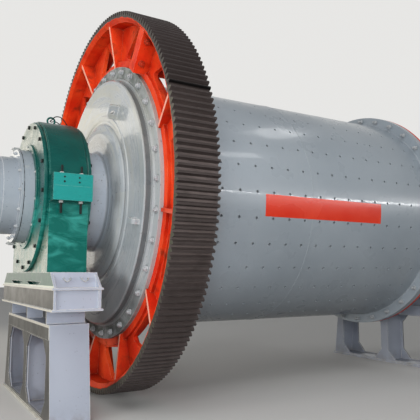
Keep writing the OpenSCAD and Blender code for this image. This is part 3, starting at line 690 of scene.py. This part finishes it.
def dark_steel(tree):
    at = place(tree)
    film = cloud(tree, at, 18.0, 3.0)
    colour = blend(tree, film, DARK_FILM, DARK_PALE)
    rough = between(tree, film, 0.3, 0.7, 0.35, 0.55)
    return colour, rough, bump(tree, cloud(tree, at, 90.0), 0.0006, 0.4)


FINISHES = {
    "shell_paint": painted("shell_paint", shell_paint, coat=0.25, gloss=0.4),
    "head_steel": painted("head_paint", head_paint, coat_rough=0.06),
    "spout_steel": painted("spout_paint", head_paint),
    "gear_steel": painted("gear_steel", gear_steel, gloss=0.2),
    "gear_paint": painted("gear_paint", gear_paint, gloss=0.08),
    "bush_metal": painted("bush_metal", bush_metal, metal=0.8),
    "housing_paint": painted("housing_paint", housing_paint, coat=0.1, gloss=0.2),
    "support_paint": painted("support_paint", support_paint, gloss=0.3),
}
OWN_FINISHES = {
    "head_feed": painted("far_head_paint", far_head_paint),
    "sole_block_drive": painted("sole_paint", sole_paint, gloss=0.3),
}
OWN_FINISHES["sole_block_feed"] = OWN_FINISHES["sole_block_drive"]
SIGN_RED = painted("sign_red", sign_red, gloss=0.3)
BOLT_STEEL = painted("bolt_steel", bolt_steel, metal=0.35)
BOLT_PAINT = painted("bolt_paint", bolt_paint, coat=0.2)
DARK_STEEL = painted("dark_steel", dark_steel, metal=0.5)
HEAD_PAINT = FINISHES["head_steel"]
RED_BOLT = painted("red_bolt", red_bolt, gloss=0.2)
SUPPORT_PAINT = FINISHES["support_paint"]
SHELL_PAINT = FINISHES["shell_paint"]


# Pieces that finish the mill

def link(thing):
    bpy.context.scene.collection.objects.link(thing)
    return thing


def keep(name, mesh, material, body):
    """Puts a finished mesh in the scene as a piece that rides on a body."""
    mesh.materials.clear()
    mesh.materials.append(material)
    piece = link(bpy.data.objects.new(name, mesh))
    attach(piece, body)


def prism(bm, rings, sides):
    """A closed solid about +Z through rings of (radius, height)."""
    loops = []
    for radius, height in rings:
        loops.append([
            bm.verts.new((
                radius * math.cos(math.tau * k / sides), radius * math.sin(math.tau * k / sides), height))
            for k in range(sides)
        ])
    for low, high in zip(loops, loops[1:]):
        for k in range(sides):
            bm.faces.new((low[k], low[(k + 1) % sides], high[(k + 1) % sides], high[k]))
    bm.faces.new(list(reversed(loops[0])))
    bm.faces.new(loops[-1])


def nut_and_stud(flats, out, stud_r):
    """A washer, a chamfered nut and the end of its stud, standing on the origin along +Z."""
    bm = bmesh.new()
    corner = flats / math.sqrt(3)
    thick = flats * 0.55
    prism(bm, [(flats * 0.62, 0.0), (flats * 0.62, flats * 0.06)], 16)
    prism(bm, [
        (corner, flats * 0.06), (corner, thick * 0.88), (corner * 0.88, thick)
    ], 6)
    if out:
        prism(bm, [
            (stud_r, thick * 0.9), (stud_r, thick + out * 0.86), (stud_r * 0.8, thick + out)
        ], 12)
    return bm


def made_mesh(name, bm):
    mesh = bpy.data.meshes.new(name)
    bm.to_mesh(mesh)
    bm.free()
    return mesh


def bolt_circle_tree():
    """Geometry nodes that set a fastener on a circle about the mill's axis."""
    tree = bpy.data.node_groups.new("bolt_circle", "GeometryNodeTree")
    face = tree.interface
    face.new_socket("Geometry", in_out="OUTPUT", socket_type="NodeSocketGeometry")
    wanted = (
        ("Fastener", "NodeSocketObject"), ("Count", "NodeSocketInt"), ("Radius", "NodeSocketFloat"),
        ("Start", "NodeSocketFloat"), ("Along", "NodeSocketFloat"), ("Height", "NodeSocketFloat"),
        ("Twist", "NodeSocketFloat"), ("Finish", "NodeSocketMaterial"))
    for label, kind in wanted:
        face.new_socket(label, in_out="INPUT", socket_type=kind)
    given = tree.nodes.new("NodeGroupInput").outputs
    index = add(tree, "GeometryNodeInputIndex").outputs[0]
    step = maths(tree, "DIVIDE", math.tau, given["Count"])
    angle = maths(tree, "ADD", both(tree, index, step), given["Start"])
    side = both(tree, maths(tree, "COSINE", angle), given["Radius"])
    rise = both(tree, maths(tree, "SINE", angle), given["Radius"])
    at = add(tree, "ShaderNodeCombineXYZ", {
        0: given["Along"], 1: side, 2: maths(tree, "ADD", rise, given["Height"])}).outputs[0]
    points = add(tree, "GeometryNodePoints", {"Count": given["Count"], "Position": at}).outputs[0]
    shape = add(tree, "GeometryNodeObjectInfo", {"Object": given["Fastener"]}).outputs["Geometry"]
    turned = maths(tree, "ADD", angle, both(tree, index, given["Twist"]))
    turn = add(tree, "ShaderNodeCombineXYZ", {0: turned}).outputs[0]
    rotation = add(tree, "FunctionNodeEulerToRotation", {0: turn}).outputs[0]
    set_out = add(tree, "GeometryNodeInstanceOnPoints", {
        "Points": points, "Instance": shape, "Rotation": rotation}).outputs[0]
    solid = add(tree, "GeometryNodeRealizeInstances", {0: set_out}).outputs[0]
    done = add(tree, "GeometryNodeSetMaterial", {
        "Geometry": solid, "Material": given["Finish"]}).outputs[0]
    out = tree.nodes.new("NodeGroupOutput")
    tree.links.new(done, out.inputs[0])
    return tree


def grown(name, tree, inputs):
    """The plain mesh that a tree gives with these inputs."""
    host = link(bpy.data.objects.new(name, bpy.data.meshes.new(name)))
    modifier = host.modifiers.new(name, "NODES")
    modifier.node_group = tree
    for item in tree.interface.items_tree:
        if item.in_out == "INPUT" and item.name in inputs:
            modifier[item.identifier] = inputs[item.name]
    host.update_tag()
    bpy.context.view_layer.update()
    seen = host.evaluated_get(bpy.context.evaluated_depsgraph_get())
    mesh = bpy.data.meshes.new_from_object(seen)
    bpy.data.objects.remove(host)
    return mesh


BOLT_CIRCLE = bolt_circle_tree()


def bolt_circle(name, bm, side, count, radius, start, along, finish_with, twist=0.0, body="drum"):
    """One ring of fasteners about the mill's axis, standing out along side times +X.

    The twist, in radians, is how much further each is turned than the one before it.
    """
    bm.transform(Matrix.Rotation(math.radians(90.0 * side), 4, "Y"))
    model = link(bpy.data.objects.new("model", made_mesh("model", bm)))
    mesh = grown(name, BOLT_CIRCLE, {
        "Fastener": model, "Count": count, "Radius": radius, "Start": math.radians(start),
        "Along": along, "Height": AXIS_Z, "Twist": twist, "Finish": finish_with})
    bpy.data.objects.remove(model)
    keep(name, mesh, finish_with, body)


def drum_bolts():
    """Bolts and nuts of the heads, and the spouts' bolts and gaskets."""
    face = FACE_X + HEAD_FLANGE_T
    back = FACE_X - HUB_BACK
    for end, side in ENDS:
        bolt_circle(f"head_bolts_{end}", nut_and_stud(*HEAD_BOLT), side, HEAD_BOLTS,
                    HEAD_BOLT_R, HEAD_BOLT_START, side * face, BOLT_PAINT, 0.61)
        inner = back if end == "drive" else FACE_X - FLANGE_T
        bolt_circle(f"head_nuts_{end}", nut_and_stud(*HEAD_NUT), -side, HEAD_BOLTS,
                    HEAD_BOLT_R, HEAD_BOLT_START, side * inner, BOLT_PAINT, 0.37)
        bolt_circle(f"spout_bolts_{end}", nut_and_stud(*SPOUT_BOLT), side, SPOUT_BOLTS,
                    SPOUT_BOLT_R, SPOUT_BOLT_START, side * (TRUNNION_END + SPOUT_FLANGE_T), BOLT_PAINT,
                    0.61)
        gasket = rod(ring_path(side * TRUNNION_END, NECK_R, 0.0, 360.0, 3.0), GASKET_R, 6, True, 0.5)
        keep(f"spout_gasket_{end}", made_mesh("spout_gasket", gasket), DARK_STEEL, "drum")


def socket_screw(radius, high):
    """A round screw head with a sunk middle, standing on the origin along +Z."""
    bm = bmesh.new()
    prism(bm, [
        (radius, 0.0), (radius, high * 0.8), (radius * 0.9, high), (radius * 0.58, high),
        (radius * 0.52, high * 0.45)
    ], 12)
    return bm


def cover_bolts():
    """Bolts of the end covers, and small bolts in the seal rings."""
    for end, side in ENDS:
        for place_on, way in (("outer", side), ("inner", -side)):
            seat = side * BEARING_X + way * (HOUSING_W / 2 + COVER_T)
            bolt_circle(f"cover_bolts_{end}_{place_on}", nut_and_stud(*COVER_BOLT), way, COVER_BOLTS,
                        COVER_BOLT_R, COVER_BOLT_START, seat, DARK_STEEL, 0.4, "stand")
        bolt_circle(f"seal_bolts_{end}", nut_and_stud(*SEAL_BOLT), side, SEAL_BOLTS,
                    SEAL_R, SEAL_BOLT_START, side * SEAL_END, BOLT_STEEL, 0.5, "stand")


def about_axis(angle):
    """A frame turned about the mill's axis: its Y runs outwards at the angle from +Y to +Z."""
    return Matrix.Translation((0, 0, AXIS_Z)) @ Matrix.Rotation(math.radians(angle), 4, "X")


def merge(whole, bm, spot=None):
    """Adds a shape, moved to its spot, to a growing mesh."""
    if spot is not None:
        bm.transform(spot)
    part = made_mesh("part", bm)
    whole.from_mesh(part)
    bpy.data.meshes.remove(part)


def gear_joint_bolts():
    """The four bolts through each pair of joint plates, with a nut on both faces."""
    whole = bmesh.new()
    for opposite in (0.0, 180.0):
        for radius in JOINT_BOLT_RADII:
            for off in (-JOINT_BOLT_OFF, JOINT_BOLT_OFF):
                for way, fastener, flip in ((1, GEAR_BOLT, 0.0), (-1, GEAR_BOLT_HEAD, math.pi)):
                    bm = nut_and_stud(*fastener)
                    bm.transform(Matrix.Rotation(flip, 4, "X"))
                    spot = Matrix.Translation((GEAR_X + off, radius, way * JOINT_PLATE_T))
                    merge(whole, bm, about_axis(GEAR_JOINT + opposite) @ spot)
    keep("gear_joint_bolts", made_mesh("gear_joint_bolts", whole), RED_BOLT, "drum")


def drilled_plate(outline, centre, hole_r, thick):
    """A flat plate with one round hole, its outline in X and Y and its middle plane at the origin."""
    bm = bmesh.new()
    layers = []
    for z in (-thick / 2, thick / 2):
        outer = [bm.verts.new((x, y, z)) for x, y in outline]
        inner = []
        for x, y in outline:
            away = Vector((x - centre[0], y - centre[1])).normalized() * hole_r
            inner.append(bm.verts.new((centre[0] + away.x, centre[1] + away.y, z)))
        layers.append((outer, inner))
    (low_out, low_in), (high_out, high_in) = layers
    count = len(outline)
    for i in range(count):
        j = (i + 1) % count
        bm.faces.new((low_out[i], low_in[i], low_in[j], low_out[j]))
        bm.faces.new((high_out[i], high_out[j], high_in[j], high_in[i]))
        bm.faces.new((low_out[i], low_out[j], high_out[j], high_out[i]))
        bm.faces.new((low_in[i], high_in[i], high_in[j], low_in[j]))
    bmesh.ops.recalc_face_normals(bm, faces=bm.faces)
    return bm


def lug_outline(reach, half, corner):
    """Outline of a lug that stands along +X on the line X = 0, with two round outer corners."""
    points = [(-0.004, -half + 2 * half * k / 6) for k in range(6, -1, -1)]
    points += [((reach - corner) * k / 3, -half) for k in (1, 2)]
    for k in range(7):
        turn = math.radians(-90 + 15 * k)
        points.append((reach - corner + corner * math.cos(turn), -half + corner + corner * math.sin(turn)))
    points += [(reach, 0.0)]
    for k in range(7):
        turn = math.radians(15 * k)
        points.append((reach - corner + corner * math.cos(turn), half - corner + corner * math.sin(turn)))
    points += [((reach - corner) * k / 3, half) for k in (2, 1)]
    return points


def head_lugs():
    """Four lifting lugs on the raised disc of each head, with a weld around each foot."""
    for end, side in ENDS:
        whole = bmesh.new()
        for angle, radius, reach in HEAD_LUGS:
            outline = lug_outline(reach, LUG_HALF_W, LUG_CORNER)
            bm = drilled_plate(outline, (reach * 0.55, 0.0), LUG_HOLE_R, LUG_T)
            bmesh.ops.bevel(bm, geom=[edge for edge in bm.edges if edge.calc_face_angle(0.0) > 1.2],
                            offset=0.004, segments=2, affect="EDGES")
            if side < 0:
                bm.transform(Matrix.Rotation(math.pi, 4, "Y"))
            spot = Matrix.Translation((side * (FACE_X + DISC_FACE), radius, 0.0))
            merge(whole, bm, about_axis(angle) @ spot)
            foot = [Vector((side * 0.001, y * LUG_HALF_W, z * LUG_T / 2)) for y, z in (
                (1, 1), (1, -1), (-1, -1), (-1, 1))]
            bead = rod(spaced(foot, 0.012, True), FOOT_BEAD_R, 6, True, 0.18)
            merge(whole, bead, about_axis(angle) @ spot)
        keep(f"head_lugs_{end}", made_mesh("head_lugs", whole), HEAD_PAINT, "drum")


def spaced(corners, step, closed=False):
    """Points along straight runs between corners, about a step apart."""
    ends = corners[1:] + corners[:1] if closed else corners[1:]
    points = []
    for start, end in zip(corners, ends):
        count = max(1, round((end - start).length / step))
        points += [start.lerp(end, k / count) for k in range(count)]
    return points if closed else points + [corners[-1]]


def bent(corners, steps=6, closed=False):
    """A smooth run of points through corners."""
    count = len(corners)
    points = []
    for i in range(count if closed else count - 1):
        near = [corners[(i + k) % count] if closed else corners[min(max(i + k, 0), count - 1)]
                for k in (-1, 0, 1, 2)]
        for k in range(steps):
            t = k / steps
            points.append(0.5 * (
                2 * near[1] + (near[2] - near[0]) * t
                + (2 * near[0] - 5 * near[1] + 4 * near[2] - near[3]) * t * t
                + (3 * near[1] - near[0] - 3 * near[2] + near[3]) * t ** 3))
    return points if closed else points + [corners[-1]]


def rod(path, radius, sides=10, closed=False, ripple=0.0):
    """A round bar along a path, or with a ripple a bead of weld."""
    dice = random.Random(7)
    bm = bmesh.new()
    rings = []
    count = len(path)
    across = None
    for i, at in enumerate(path):
        ahead = path[(i + 1) % count] if closed or i + 1 < count else at
        behind = path[i - 1] if closed or i > 0 else at
        along = (ahead - behind).normalized()
        if across is None:
            across = along.orthogonal()
        across = (across - along * across.dot(along)).normalized()
        over = along.cross(across)
        wide = radius * (1 + ripple * (dice.random() * 2 - 1))
        turns = [math.tau * k / sides for k in range(sides)]
        rings.append([
            bm.verts.new(at + (across * math.cos(turn) + over * math.sin(turn)) * wide) for turn in turns
        ])
    for low, high in zip(rings, rings[1:] + (rings[:1] if closed else [])):
        for k in range(sides):
            bm.faces.new((low[k], low[(k + 1) % sides], high[(k + 1) % sides], high[k]))
    if not closed:
        bm.faces.new(list(reversed(rings[0])))
        bm.faces.new(rings[-1])
    bmesh.ops.recalc_face_normals(bm, faces=bm.faces)
    return bm


def ring_path(x, radius, start, end, step=1.0):
    """Points round the mill's axis from one angle to another."""
    count = round((end - start) / step)
    whole = end - start >= 360.0
    turns = [math.radians(start + (end - start) * k / count) for k in range(count if whole else count + 1)]
    return [Vector((x, radius * math.cos(turn), AXIS_Z + radius * math.sin(turn))) for turn in turns]


def shell_welds():
    """The ring seam between the courses, broken by the sign, and one long seam in each course."""
    whole = bmesh.new()
    radius = SHELL_R - SHELL_BEAD_SINK
    merge(whole, rod(ring_path(-WELD_X, radius, *SHELL_SEAM_TURNS), SHELL_BEAD_R, 8, False, BEAD_RIPPLE))
    for angle, low, high in LONG_SEAMS:
        turn = math.radians(angle)
        ends = [Vector((x, radius * math.cos(turn), AXIS_Z + radius * math.sin(turn))) for x in (low, high)]
        merge(whole, rod(spaced(ends, 0.018), SHELL_BEAD_R, 8, False, BEAD_RIPPLE))
    keep("shell_welds", made_mesh("shell_welds", whole), SHELL_PAINT, "drum")


def spout_clamps():
    """Two short clamps over the joint of trunnion and spout flange, with a nut on both faces."""
    for end, side in ENDS:
        whole = bmesh.new()
        for angle in CLAMP_ANGLES:
            outline = lug_outline(CLAMP_RISE, CLAMP_HALF_W, 0.012)
            bm = drilled_plate(outline, (CLAMP_RISE / 2, 0.0), 0.008, CLAMP_LEN)
            bm.transform(Matrix.Rotation(math.radians(90), 4, "Z"))
            bm.transform(Matrix.Rotation(math.radians(90), 4, "Y"))
            joint = side * (TRUNNION_END + 0.002)
            spot = about_axis(angle) @ Matrix.Translation((joint, NECK_R, 0.0))
            merge(whole, bm, spot)
            for way in (-1, 1):
                bolt = nut_and_stud(*CLAMP_BOLT)
                bolt.transform(Matrix.Rotation(math.radians(90.0 * way), 4, "Y"))
                merge(whole, bolt, about_axis(angle) @ Matrix.Translation(
                    (joint + way * CLAMP_LEN / 2, NECK_R + CLAMP_RISE / 2, 0.0)))
        keep(f"spout_clamps_{end}", made_mesh("spout_clamps", whole), BOLT_STEEL, "drum")


def bearing_bolts():
    """Studs and nuts of the joint between cap and seat, and the four small screws in each joint plate."""
    for end, side in ENDS:
        nuts = bmesh.new()
        studs = bmesh.new()
        screws = bmesh.new()
        for flank in (-1, 1):
            for off in (-BEARING_STUD_OFF, BEARING_STUD_OFF):
                foot = (side * BEARING_X + off, flank * BEARING_STUD_Y)
                for level, turn, out in ((JOINT_HIGH, 0.0, 0.100), (JOINT_LOW, math.pi, 0.135)):
                    spot = Matrix.Translation((*foot, level)) @ Matrix.Rotation(turn, 4, "X")
                    merge(nuts, nut_and_stud(*BEARING_NUT), spot)
                    bm = bmesh.new()
                    prism(bm, [(BEARING_STUD_R, 0.020), (BEARING_STUD_R, out - 0.004),
                               (BEARING_STUD_R - 0.003, out)], 16)
                    merge(studs, bm, spot)
            for off in (-JOINT_SCREW_OFF, JOINT_SCREW_OFF):
                for rise in JOINT_SCREW_RISES:
                    bm = socket_screw(JOINT_SCREW_R, 0.004)
                    bm.transform(Matrix.Rotation(math.radians(-90.0 * flank), 4, "X"))
                    merge(screws, bm, Matrix.Translation(
                        (side * (BEARING_X + JOINT_SCREW_SHIFT) + off, flank * JOINT_Y, AXIS_Z + rise)))
        keep(f"bearing_nuts_{end}", made_mesh("bearing_nuts", nuts), BOLT_STEEL, "stand")
        keep(f"bearing_studs_{end}", made_mesh("bearing_studs", studs), DARK_STEEL, "stand")
        keep(f"joint_screws_{end}", made_mesh("joint_screws", screws), DARK_STEEL, "stand")


def lifting_links():
    """A bent rod through each lifting eye, leaning on the cap."""
    for end, side in ENDS:
        x = side * BEARING_X
        crown = AXIS_Z + CAP_R
        inward = -side
        corners = [
            (0.000, -0.036, 0.072), (0.045, -0.040, 0.118), (0.120, -0.042, 0.116), (0.190, -0.040, 0.040),
            (0.208, -0.030, 0.008), (0.212, 0.000, 0.007), (0.208, 0.030, 0.008),
            (0.150, 0.040, 0.034), (0.070, 0.040, 0.074), (0.012, 0.036, 0.064), (-0.012, 0.000, 0.062)]
        path = [Vector((x + inward * a, b, crown + c)) for a, b, c in corners]
        keep(f"lifting_link_{end}", made_mesh("lifting_link", rod(bent(path, 6, True), LINK_R, 8, True)),
             DARK_STEEL, "stand")


def sole_hooks():
    """Two bent hooks on each end face of the sole blocks."""
    for end, side in ENDS:
        whole = bmesh.new()
        level = (SOLE_TOP + SOLE_LOW) / 2
        face = SOLE_FACE + 0.030
        half = [(0.036, -0.014, 0.018), (0.036, 0.030, 0.018), (0.025, 0.036, -0.002)]
        corners = [(-a, b, c) for a, b, c in half] + [(0.0, 0.036, -0.016)] + half[::-1]
        for flank in (-1, 1):
            for off in HOOK_OFFS:
                middle = side * BEARING_X + off
                path = [Vector((middle + a, flank * (face + b), level + c)) for a, b, c in corners]
                merge(whole, rod(bent(path, 5), HOOK_R, 8))
        keep(f"sole_hooks_{end}", made_mesh("sole_hooks", whole), BOLT_STEEL, "stand")


def support_welds():
    """Fillet welds along the long joints of each support."""
    for end, side in ENDS:
        whole = bmesh.new()
        low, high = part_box(f"riser_{end}")
        for level in (low[2] + 0.001, high[2] - 0.001):
            for y in (low[1], high[1]):
                ends = [Vector((x, y, level)) for x in (low[0], high[0])]
                merge(whole, rod(spaced(ends, 0.014), SUPPORT_BEAD_R, 6, False, 0.2))
        keep(f"support_welds_{end}", made_mesh("support_welds", whole), SUPPORT_PAINT, "stand")


def sign_plate():
    """The bare sign bent round the shell."""
    left, right = -0.877, 1.117
    low, high = -9.1, 0.55
    rows, cols, thick = 10, 24, 0.0016
    bm = bmesh.new()
    skins = []
    for lift in (0.0004, thick):
        grid = []
        for i in range(rows + 1):
            angle = math.radians(180.0 - (low + (high - low) * i / rows))
            r = SHELL_R + lift
            grid.append([
                bm.verts.new((
                    left + (right - left) * j / cols,
                    r * math.cos(angle),
                    AXIS_Z + r * math.sin(angle)))
                for j in range(cols + 1)
            ])
        skins.append(grid)
    inner, outer = skins
    for i in range(rows):
        for j in range(cols):
            bm.faces.new((outer[i][j], outer[i][j + 1], outer[i + 1][j + 1], outer[i + 1][j]))
            bm.faces.new((inner[i][j], inner[i + 1][j], inner[i + 1][j + 1], inner[i][j + 1]))
    rim = [(0, j) for j in range(cols)] + [(i, cols) for i in range(rows)]
    rim += [(rows, j) for j in range(cols, 0, -1)] + [(i, 0) for i in range(rows, 0, -1)]
    for (i, j), (m, n) in zip(rim, rim[1:] + rim[:1]):
        bm.faces.new((inner[i][j], inner[m][n], outer[m][n], outer[i][j]))
    bmesh.ops.recalc_face_normals(bm, faces=bm.faces)
    keep("sign_plate", made_mesh("sign_plate", bm), SIGN_RED, "drum")


def seen_rays(tree):
    """1 for rays from the camera, a glossy surface or glass."""
    path = add(tree, "ShaderNodeLightPath").outputs
    glossy = maths(tree, "MAXIMUM", path["Is Glossy Ray"], path["Is Transmission Ray"])
    return maths(tree, "MAXIMUM", path["Is Camera Ray"], glossy)


def studio():
    """A pale floor and backdrop, which light the mill less than they show."""
    floor = bpy.data.meshes.new("floor")
    far = 60.0
    floor.from_pydata([(-far, -far, 0), (far, -far, 0), (far, far, 0), (-far, far, 0)], [], [(0, 1, 2, 3)])
    laid = link(bpy.data.objects.new("floor", floor))
    ground = bpy.data.materials.new("floor")
    ground.use_nodes = True
    tree = ground.node_tree
    shader = tree.nodes["Principled BSDF"]
    colour = blend(tree, seen_rays(tree), FLOOR_LIT, FLOOR_SEEN)
    tree.links.new(colour, shader.inputs["Base Color"])
    shader.inputs["Roughness"].default_value = 0.8
    floor.materials.append(ground)
    world = bpy.data.worlds.new("world")
    bpy.context.scene.world = world
    world.use_nodes = True
    tree = world.node_tree
    lit = tree.nodes["Background"]
    lit.inputs["Color"].default_value = (0.96, 0.98, 1.0, 1.0)
    lit.inputs["Strength"].default_value = 0.26
    at = add(tree, "ShaderNodeTexCoord").outputs["Generated"]
    way = split(tree, at)
    near_side = between(tree, both(tree, way[1], -1.0), -0.3, 0.6)
    overhead = between(tree, way[2], 0.5, 0.8)
    pale = blend(tree, near_side, SKY_FAR, SKY_NEAR)
    pale = blend(tree, overhead, pale, SKY_OVERHEAD)
    shown = add(tree, "ShaderNodeBackground", {"Color": pale, "Strength": 1.0})
    chosen = add(tree, "ShaderNodeMixShader", {0: seen_rays(tree)})
    tree.links.new(lit.outputs[0], chosen.inputs[1])
    tree.links.new(shown.outputs[0], chosen.inputs[2])
    tree.links.new(chosen.outputs[0], tree.nodes["World Output"].inputs["Surface"])


def lamp(name, place_at, aim_at, energy, size, colour=(1.0, 1.0, 1.0), shines=True, lights=True):
    data = bpy.data.lights.new(name, "AREA")
    data.energy = energy
    data.shape = "RECTANGLE"
    data.size, data.size_y = size
    data.color = colour
    hung = link(bpy.data.objects.new(name, data))
    hung.location = place_at
    aim = Vector(aim_at) - Vector(place_at)
    hung.rotation_euler = aim.to_track_quat("-Z", "Y").to_euler()
    hung.visible_camera = False
    hung.visible_glossy = shines
    hung.visible_diffuse = lights


def camera():
    data = bpy.data.cameras.new("camera")
    data.lens = CAMERA_LENS
    data.sensor_width = SENSOR
    data.clip_end = 200.0
    seen = link(bpy.data.objects.new("camera", data))
    seen.location = CAMERA_AT
    seen.rotation_euler = (math.radians(90 + CAMERA_UP), 0.0, math.radians(-CAMERA_TURN))
    bpy.context.scene.camera = seen


bpy.context.scene.view_settings.view_transform = "Standard"
camera()
studio()
lamp("key", (-7.0, -8.0, 10.0), (-0.5, 0.0, 2.5), 350.0, (6.0, 6.0))
lamp("front_fill", (-5.0, -9.0, 2.2), (-2.2, 0.0, 2.2), 410.0, (4.0, 3.0), shines=False)
lamp("end_fill", (-12.0, -5.0, 2.2), (-2.5, 0.0, 2.2), 600.0, (4.0, 3.0), shines=False)
lamp("side", (-7.5, 7.5, 3.5), (-3.2, 0.0, 2.2), 160.0, (7.0, 6.0), (1.0, 0.93, 0.80))
lamp("strip", (7.2, -9.0, 4.1), (0.0, -1.6, 2.5), 290.0, (9.0, 0.22), lights=False)
lamp("roof_light_mid", (2.9, -1.9, 8.0), (1.5, -1.2, 2.5), 22.0, (1.5, 0.9))
lamp("roof_light_front", (3.0, -6.0, 8.0), (0.0, -1.6, 2.5), 22.0, (1.3, 0.6))
slots = {part["node"]: part["material_slot"] for part in frame["record"]["subparts"]}
for name, node in frame["nodes"].items():
    node.data.materials.clear()
    node.data.materials.append(OWN_FINISHES.get(name, FINISHES[slots[name]]))
drum_bolts()
cover_bolts()
gear_joint_bolts()
head_lugs()
shell_welds()
spout_clamps()
bearing_bolts()
lifting_links()
sole_hooks()
support_welds()
sign_plate()
